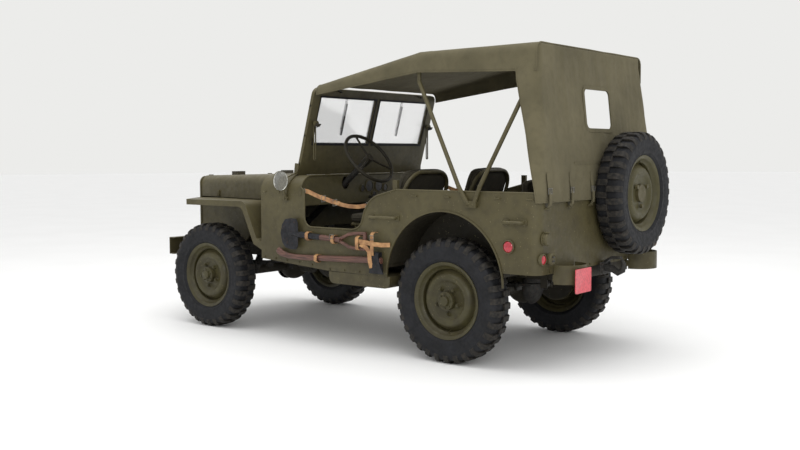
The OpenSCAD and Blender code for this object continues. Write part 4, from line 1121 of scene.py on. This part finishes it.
for x, low, high in ((-18, 660, 706), (-232, 650, 696), (-92, 527, 570), (-548, 590, 728), (-430, 622, 700)):
    wrapped(hold_mesh, x, low, high)
long_end = [(-440, TOOL_Y + 14, 672), (-500, TOOL_Y + 16, 668), (-560, TOOL_Y + 24, 662),
            (-620, TOOL_Y + 18, 660), (-655, TUB_HALF + 8, 660)]
sweep(hold_mesh, strap_section(26, 4), placed(long_end), (0, 0, 1))
hanging_end = [(-452, TOOL_Y + 13, 655), (-500, TOOL_Y + 20, 640), (-530, TOOL_Y + 25, 616),
               (-534, TOOL_Y + 24, 560), (-534, TOOL_Y + 10, 520)]
sweep(hold_mesh, strap_section(24, 4), placed(hanging_end), (1, 0, 0))
for x, low, high in ((-28, 664, 702), (-222, 655, 692), (-60, 532, 566), (-430, 544, 580), (150, 600, 640),
                     (150, 740, 780)):
    block(clip_mesh, (x - 15, TUB_HALF - 0.5, low), (x + 15, TUB_HALF + 9, high), 1.5)
    bolt(clip_mesh, at(x, TUB_HALF + 8, (low + high) / 2), (0, 1, 0), 6, 5)
piece("tool_straps", hold_mesh, LEATHER, smooth=60)
piece("tool_clips", clip_mesh, OLIVE)
for x, z in ((-548, 700), (-232, 690)):
    square = [(x + a, TOOL_Y + 24, z + b) for a, b in ((-16, -12), (16, -12), (16, 12), (-16, 12))]
    buckle = bmesh.new()
    sweep(buckle, ring_section(2.4, 8), placed(square), (0, 1, 0), closed=True)
    piece(f"tool_buckle_{-x}", buckle, STEEL)
print("tool straps made")

# %% [markdown]
# ## Lamps and reflectors
# The rear carries a red lamp at each corner, a blackout lamp with two narrow slots beside it, and a
# ribbed socket for a trailer's lights. Housings and lenses are turned. The lens is slightly domed
# and stands in a pressed ring. Red reflectors with the same ring sit on the sides.

# %% Rear lamps
def facing(place, out):
    return Matrix.Translation(place) @ Vector(out).to_track_quat("Z", "Y").to_matrix().to_4x4()


housing_mesh, lens_mesh, slot_mesh = bmesh.new(), bmesh.new(), bmesh.new()
RING = [(37, 0), (38, 6), (36, 9), (32, 10), (30, 7), (30, 0)]
LENS = [(31, 3), (27, 8), (18, 11.5), (8, 13), (0, 13.4)]
LAMP_Y, LAMP_HIGH = TUB_HALF - 101, 632
for sign in (1, -1):
    red_lamp = sign * (LAMP_Y + 64)
    spots = [(at(-1459, sign * (TUB_HALF + 1), 693), (0, sign, 0), 1.0),
             (at(REAR - 8, red_lamp, LAMP_HIGH), (-1, 0, 0), 0.82)]
    for place, out, scale in spots:
        stand = facing(place, out) @ Matrix.Scale(scale, 4)
        turned(housing_mesh, RING, stand, 48, loop=True)
        turned(lens_mesh, LENS, stand, 48)
    rod(housing_mesh, at(REAR + 4, red_lamp, LAMP_HIGH), at(REAR - 9, red_lamp, LAMP_HIGH), 27, 32, 30)
    lamp = facing(at(REAR, sign * LAMP_Y, LAMP_HIGH), (-1, 0, 0))
    turned(housing_mesh, [(0, 0), (26, 0), (31, 8), (32, 27), (30, 32), (25, 35), (22, 33.5), (0, 33.5)],
           lamp, 48)
    for z in (643, 622):
        block(slot_mesh, (REAR - 36.5, sign * LAMP_Y - 12, z - 3.5),
              (REAR - 33, sign * LAMP_Y + 12, z + 3.5), 1)
socket = facing(at(REAR, LAMP_Y + 36, 738), (-1, 0, 0))
SOCKET = [(0, 0), (36, 0), (36, 5), (31, 7), (31, 13), (33, 15), (31, 17), (31, 20), (33, 22), (31, 24),
          (29, 29), (0, 30)]
turned(housing_mesh, SOCKET, socket, 48)
block(housing_mesh, (REAR - 34, LAMP_Y + 22, 770), (REAR - 1, LAMP_Y + 50, 778), 2)
piece("lamp_housings", housing_mesh, OLIVE, "chassis", ("rear_lights",))
piece("red_lenses", lens_mesh, RED_GLASS, smooth=60)
piece("blackout_slots", slot_mesh, DIAL)
print("rear lamps made")

# %% [markdown]
# At the front, each headlamp sits behind the grille with a pressed, painted ring and a domed
# glass. Small blackout markers stand beside them. The lamp bodies of the frame stay behind the glass.

# %% Headlamps
bezel_mesh, glass_mesh = bmesh.new(), bmesh.new()
GRILLE = (float(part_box("grille")[1][0]) - SHIFT) / MM
HEADLAMP_Y, HEADLAMP_HIGH, MARKER_Y, MARKER_HIGH = 292, 800, 330, 690
for sign in (1, -1):
    front = facing(at(GRILLE - 6, sign * HEADLAMP_Y, HEADLAMP_HIGH), (1, 0, 0))
    turned(bezel_mesh, [(76, 0), (76, 5), (72, 7), (69, 5), (69, 0)], front, 64, loop=True)
    turned(glass_mesh, [(70, 2), (60, 6), (40, 9.5), (20, 11), (0, 11.5)], front, 64)
    marker = facing(at(GRILLE - 1, sign * MARKER_Y, MARKER_HIGH), (1, 0, 0))
    turned(bezel_mesh, [(0, 0), (30, 0), (30, 12), (25, 17), (21, 15), (0, 15)], marker, 32)
piece("headlamp_rings", bezel_mesh, OLIVE)
piece("headlamp_glasses", glass_mesh, SILVERED_GLASS_AND_PAINTED_REFLECTION, smooth=60)
print("headlamps made")

# %% [markdown]
# ## Body details
# The tub's open edges are rolled round a wire, which shows as a bead round the door cut. Flanges are
# spot-welded or bolted, so rows of small heads run along seams. Handles stand on square
# feet with four rivets. These small parts turn a plain sheet into a car.

# %% Rolled edge of the door cut
bead_mesh = bmesh.new()


def round_bend(cx, cz, radius, start, end, steps=8):
    return [(cx + radius * math.cos(math.radians(between(start, end, i / steps))),
             cz + radius * math.sin(math.radians(between(start, end, i / steps)))) for i in range(steps + 1)]


DOOR = [(COWL_REAR, 980), (42, 962)] + round_bend(-20, 797, 62, 0, -90)
DOOR += round_bend(-350, 825, 90, 270, 205) + [(-452, 850)]
DOOR += round_bend(-600, 800, 152, 35, 80) + [(-690, 980)]
ARCH_X, ARCH_HIGH, ARCH_RADIUS = -HALF_BASE - 6, 468, 401
for sign in (1, -1):
    sweep(bead_mesh, ring_section(6, 10), placed([(x, sign * (TUB_HALF - 3), z) for x, z in DOOR]), (0, 1, 0))
    arch = [(ARCH_X + ARCH_RADIUS * math.cos(t), sign * (TUB_HALF - 1), ARCH_HIGH + ARCH_RADIUS * math.sin(t))
            for t in swing(math.pi, 40)]
    sweep(bead_mesh, strap_section(10, 9), placed(arch), (0, 1, 0))
SHOULDER = 105
lip = [(COWL_REAR + 2, TUB_HALF - 2, 930)] + [
    (COWL_REAR + 2, TUB_HALF - SHOULDER + (SHOULDER - 2) * math.cos(t),
     COWL_TOP - SHOULDER + (SHOULDER - 2) * math.sin(t))
    for t in swing(math.pi / 2, 12)]
lip += [(x, -y, z) for x, y, z in reversed(lip)]
sweep(bead_mesh, ring_section(6, 10), placed(lip), (1, 0, 0))
piece("rolled_edges", bead_mesh, OLIVE)

# %% Bolts, handle feet and brackets
small_mesh = bmesh.new()
FOOT_SIDES = (560, 640)
HANDLES = [(-700, 819), (-510, 819), (-1552, 825), (-1440, 825)]
for sign in (1, -1):
    side = sign * TUB_HALF
    for x, z in HANDLES:
        side_block(small_mesh, sign, (x - 19, x + 19), (TUB_HALF - 0.5, TUB_HALF + 4), (z - 17, z + 17), 1.5)
        for dx in (-13, 13):
            for dz in (-11, 11):
                bolt(small_mesh, at(x + dx, side + sign * 3, z + dz), (0, sign, 0), 3.2, 3)
    for x in (400, 300, 200, 90, -20):
        bolt(small_mesh, at(x, side, 515 - (420 - x) * 0.06 + 14), (0, sign, 0), 5, 4)
    for x in (-170, -290, -410, -530, -615):
        bolt(small_mesh, at(x, side, 484), (0, sign, 0), 5, 4)
    for x in (225, 260, 385):
        bolt(small_mesh, at(x, side, 950), (0, sign, 0), 4.5, 4)
    # foot plate and pin under each side of the windscreen
    side_block(small_mesh, sign, (176, 226), FOOT_SIDES, (COWL_TOP - 2, COWL_TOP + 5))
    rod(small_mesh, *(at(182, sign * y, COWL_TOP + 6) for y in FOOT_SIDES), 8, 14)
for y in (-600, -450, -300, -150, 0, 150, 300, 450, 600):
    bolt(small_mesh, at(REAR, y, 562), (-1, 0, 0), 5, 4)
for y in (-560, -380, 330, 560):
    bolt(small_mesh, at(REAR, y, 940), (-1, 0, 0), 4.5, 4)
block(small_mesh, (REAR - 4, -660, 850), (REAR + 1, -560, 862), 1.5)
for y, z in ((-250, 720), (-160, 720), (-250, 890), (-160, 890)):
    bolt(small_mesh, at(REAR - 6, y, z), (-1, 0, 0), 8, 7)
for sign in (1, -1):
    for y in (400, 500):
        bolt(small_mesh, at(REAR - 7, sign * y, 512), (-1, 0, 0), 9, 8)
piece("bolts_and_feet", small_mesh, OLIVE, smooth=30)
print("body details made")

# %% [markdown]
# ## Windscreen
# The panes sit in black rubber channels. The frame is clamped to its slotted side arms by large wing
# nuts. Two flat pivot arms bend down round the cowl's shoulders to its sides, and two short handles
# stand on the top rail, where the roof is hooked on.

# %% Rubber channels and clamps
LEAN, FRAME_BOLTS, KNOB_HIGH, HANDLE_HIGH = math.radians(15.7), (75, 260, 455), 340, 562
SCREEN_X, SCREEN_HALF = 187, 635
PANE_LOW, PANE_HIGH = 207, 518


def on_screen(y, height, out=0.0):
    """a point on the windscreen: across, up its face, and out towards the front"""
    return at(SCREEN_X - math.sin(LEAN) * height + math.cos(LEAN) * out, y,
              COWL_TOP + math.cos(LEAN) * height + math.sin(LEAN) * out)


gasket_mesh, clamp_mesh = bmesh.new(), bmesh.new()
for sign in (1, -1):
    for out in (12, -12):
        edge_line = [(sign * 18, PANE_LOW), (sign * 567, PANE_LOW), (sign * 567, PANE_HIGH),
                     (sign * 18, PANE_HIGH)]
        sweep(gasket_mesh, strap_section(14, 5), [on_screen(y, h, out) for y, h in edge_line], (0, 1, 0),
              closed=True)
    knob = on_screen(sign * 592, KNOB_HIGH, -44)
    rod(clamp_mesh, knob, knob + Vector((-0.022, 0, 0)), 14, 20, 9)
    rod(clamp_mesh, knob + Vector((-0.01, -0.024, 0.006)), knob + Vector((-0.01, 0.024, -0.006)), 5, 10)
    for h in FRAME_BOLTS:
        bolt(clamp_mesh, on_screen(sign * SCREEN_HALF, h), (0, sign, 0), 5, 4)
    handle = on_screen(sign * 420, HANDLE_HIGH, -14)
    rod(clamp_mesh, handle, handle + Vector((-0.03, 0, -0.012)), 6, 12)
# the pivot arms bend round the cowl's shoulder to its sides
arm_mesh = bmesh.new()
# the arm's way across and above the cowl, drawn for a tub of this half width
DRAWN_HALF = 725
ARM = [(637, 75), (641, 14), (674, -9), (706, -36), (724, -66), (733, -105), (733, -150)]
for sign in (1, -1):
    arm_line = [(SCREEN_X - 4 + 0.1 * (75 - z), sign * y * (TUB_HALF / DRAWN_HALF), COWL_TOP + z)
                for y, z in ARM]
    sweep(arm_mesh, strap_section(34, 7), placed(arm_line), (1, 0, 0))
    pivot = [at(SCREEN_X + 16, sign * (TUB_HALF + out), COWL_TOP - 140) for out in (2, 22)]
    rod(arm_mesh, *pivot, 15, 20, 12)
piece("windscreen_pivot_arms", arm_mesh, OLIVE)
piece("pane_channels", gasket_mesh, SIDEWALL)
piece("windscreen_clamps", clamp_mesh, CHASSIS_ENAMEL_AND_PAINTED_SHADE)
print("windscreen details made")

# %% [markdown]
# ## Dashboard, bonnet and axle details
# Five small gauges with black dials are set in the dash. The bonnet has catches on its sides and
# two buffers near its front edge. Below, the leaf springs are clamped to the axles by U bolts,
# dampers stand beside them and each axle has a bolted cover. They are seen between the wheels, so
# each gets its real outline.

# %% Gauges
dial_mesh, dial_ring_mesh = bmesh.new(), bmesh.new()
DASH = COWL_REAR + 3.5
for y, z, radius in ((60, 972, 42), (-40, 972, 42), (130, 958, 26), (-110, 958, 26), (10, 912, 26)):
    face_place = facing(at(DASH, y, z), (-1, 0, 0))
    ring = [(radius, 0), (radius, 5), (radius - 4, 6), (radius - 5, 3), (radius - 5, 0)]
    turned(dial_ring_mesh, ring, face_place, 40, loop=True)
    turned(dial_mesh, [(radius - 4, 2), (0, 2.4)], face_place, 40)
    needle = [at(DASH - 3, y, z), at(DASH - 3, y + radius * 0.5, z + radius * 0.4)]
    sweep(dial_ring_mesh, ring_section(1.4, 6), needle, (1, 0, 0))
piece("gauge_dials", dial_mesh, DIAL)
piece("gauge_rings", dial_ring_mesh, OLIVE)

# %% Bonnet catches
catch_mesh = bmesh.new()
for sign in (1, -1):
    for x, y in ((640, 518), (1180, 424)):
        side_block(catch_mesh, sign, (x - 12, x + 12), (y - 2, y + 12), (890, 935))
    block(catch_mesh, (1395, sign * 300 - 14, COWL_TOP - 30), (1419, sign * 300 + 14, COWL_TOP - 14), 2)
piece("bonnet_catches", catch_mesh, OLIVE, "hood")

# %% Springs and dampers
U_BOLT_SIDES = (321, 376)
# a leaf spring rises by the square of the way from its middle, over this
SPRING_SWEEP = 9200
AXLE_HIGH, COVER_Y, COVER_BOLTS, BOLT_CIRCLE = 358, -160, 10, 104
under_mesh = bmesh.new()
for x in (HALF_BASE, -HALF_BASE):
    for sign in (1, -1):
        for dx in (-32, 32):
            for y in U_BOLT_SIDES:
                rod(under_mesh, at(x + dx, sign * y, 316), at(x + dx, sign * y, 445), 6, 10)
            rod(under_mesh, *(at(x + dx, sign * y, 441) for y in U_BOLT_SIDES), 6, 10)
        side_block(under_mesh, sign, (x - 46, x + 46), (312, 385), (312, 322))
        for half in (150, 270):
            lift = half * half / SPRING_SWEEP
            for middle_x in (x - half, x + half):
                side_block(under_mesh, sign, (middle_x - 10, middle_x + 10), (322, 375),
                           (398 + lift, 440 + lift))
        way = 1 if x < 0 else -1
        damper = sign * 300
        rod(under_mesh, at(x + 60 * way, damper, 345), at(x + 150 * way, damper, 520), 25, 24)
        rod(under_mesh, at(x + 140 * way, damper, 500), at(x + 165 * way, damper, 550), 12, 16)
for x, way in ((HALF_BASE, 1), (-HALF_BASE, -1)):
    cover = facing(at(x + 60 * way, COVER_Y, AXLE_HIGH), (way, 0, 0))
    turned(under_mesh, [(112, 0), (112, 8), (98, 26), (70, 44), (30, 52), (0, 53)], cover, 40)
    for i in range(COVER_BOLTS):
        angle = 2 * math.pi * i / COVER_BOLTS
        spot = at(x + 68 * way, COVER_Y + BOLT_CIRCLE * math.cos(angle),
                  AXLE_HIGH + BOLT_CIRCLE * math.sin(angle))
        bolt(under_mesh, spot, (way, 0, 0), 6, 6)
piece("spring_clamps_and_covers", under_mesh, CAST)
print("running gear details made")

# %% [markdown]
# ## Tow hook, plate and mirror
# The hook is forged, with a latch and a locking pin over its mouth. The small plate is a blank red
# one with a raised edge. The mirror is a round glass in a pressed shell that faces backwards.

# %% Tow hook, plate and mirror
hook_mesh = bmesh.new()
hook_line = [(REAR - 18, 0, 530), (REAR - 60, 0, 528), (REAR - 100, 0, 505), (REAR - 128, 0, 520),
             (REAR - 134, 0, 556), (REAR - 122, 0, 584)]
sweep(hook_mesh, ring_section(17, 14), placed(hook_line), (0, 1, 0), grow=[1.3, 1.2, 1.1, 1.0, 0.85, 0.5])
latch_line = [(REAR - 22, 0, 566), (REAR - 60, 0, 590), (REAR - 118, 0, 592)]
sweep(hook_mesh, strap_section(30, 14), placed(latch_line), (0, 1, 0))
rod(hook_mesh, at(REAR - 52, -30, 584), at(REAR - 52, 30, 584), 7, 12)
block(hook_mesh, (REAR - 22, -64, 492), (REAR - 14, 64, 566), 4)
for y in (-48, 48):
    for z in (508, 550):
        bolt(hook_mesh, at(REAR - 22, y, z), (-1, 0, 0), 8, 8)
piece("tow_hook", hook_mesh, CAST, "chassis", ("pintle_hook",))
plate_low, plate_high = (Vector(v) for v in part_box("number_plate"))
plate_mesh = bmesh.new()
plate_size = Matrix.Diagonal((*(plate_high - plate_low), 1))
plate_place = Matrix.Translation((plate_low + plate_high) / 2) @ plate_size
bmesh.ops.create_cube(plate_mesh, size=1.0, matrix=plate_place)
upright = [e for e in plate_mesh.edges if abs((e.verts[0].co - e.verts[1].co).x) > 0.003]
bmesh.ops.bevel(plate_mesh, geom=upright, offset=8 * MM, affect="EDGES", segments=4, profile=0.5, material=-1)
rear_face = min(plate_mesh.faces, key=lambda f: f.calc_center_median().x)
bmesh.ops.inset_region(plate_mesh, faces=[rear_face], thickness=5 * MM, depth=-1 * MM)
piece("red_plate", plate_mesh, PLATE_RED, "chassis", ("number_plate",), smooth=30)
MIRROR_X, MIRROR_OUT, MIRROR_HIGH = 183.5, 62, 1022
mirror_mesh = bmesh.new()
mirror_place = facing(at(MIRROR_X, TUB_HALF + MIRROR_OUT, MIRROR_HIGH), (-1, 0, 0))
turned(mirror_mesh, [(61, -1), (61.5, 3), (58, 4.5), (56, 2), (0, 2)], mirror_place, 48)
# the mirror's pale grey is partly metal reflection and partly a painted reflection of the bright studio
piece("mirror_glass", mirror_mesh, SILVERED_GLASS_AND_PAINTED_REFLECTION, smooth=30)
print("tow hook, plate and mirror made")
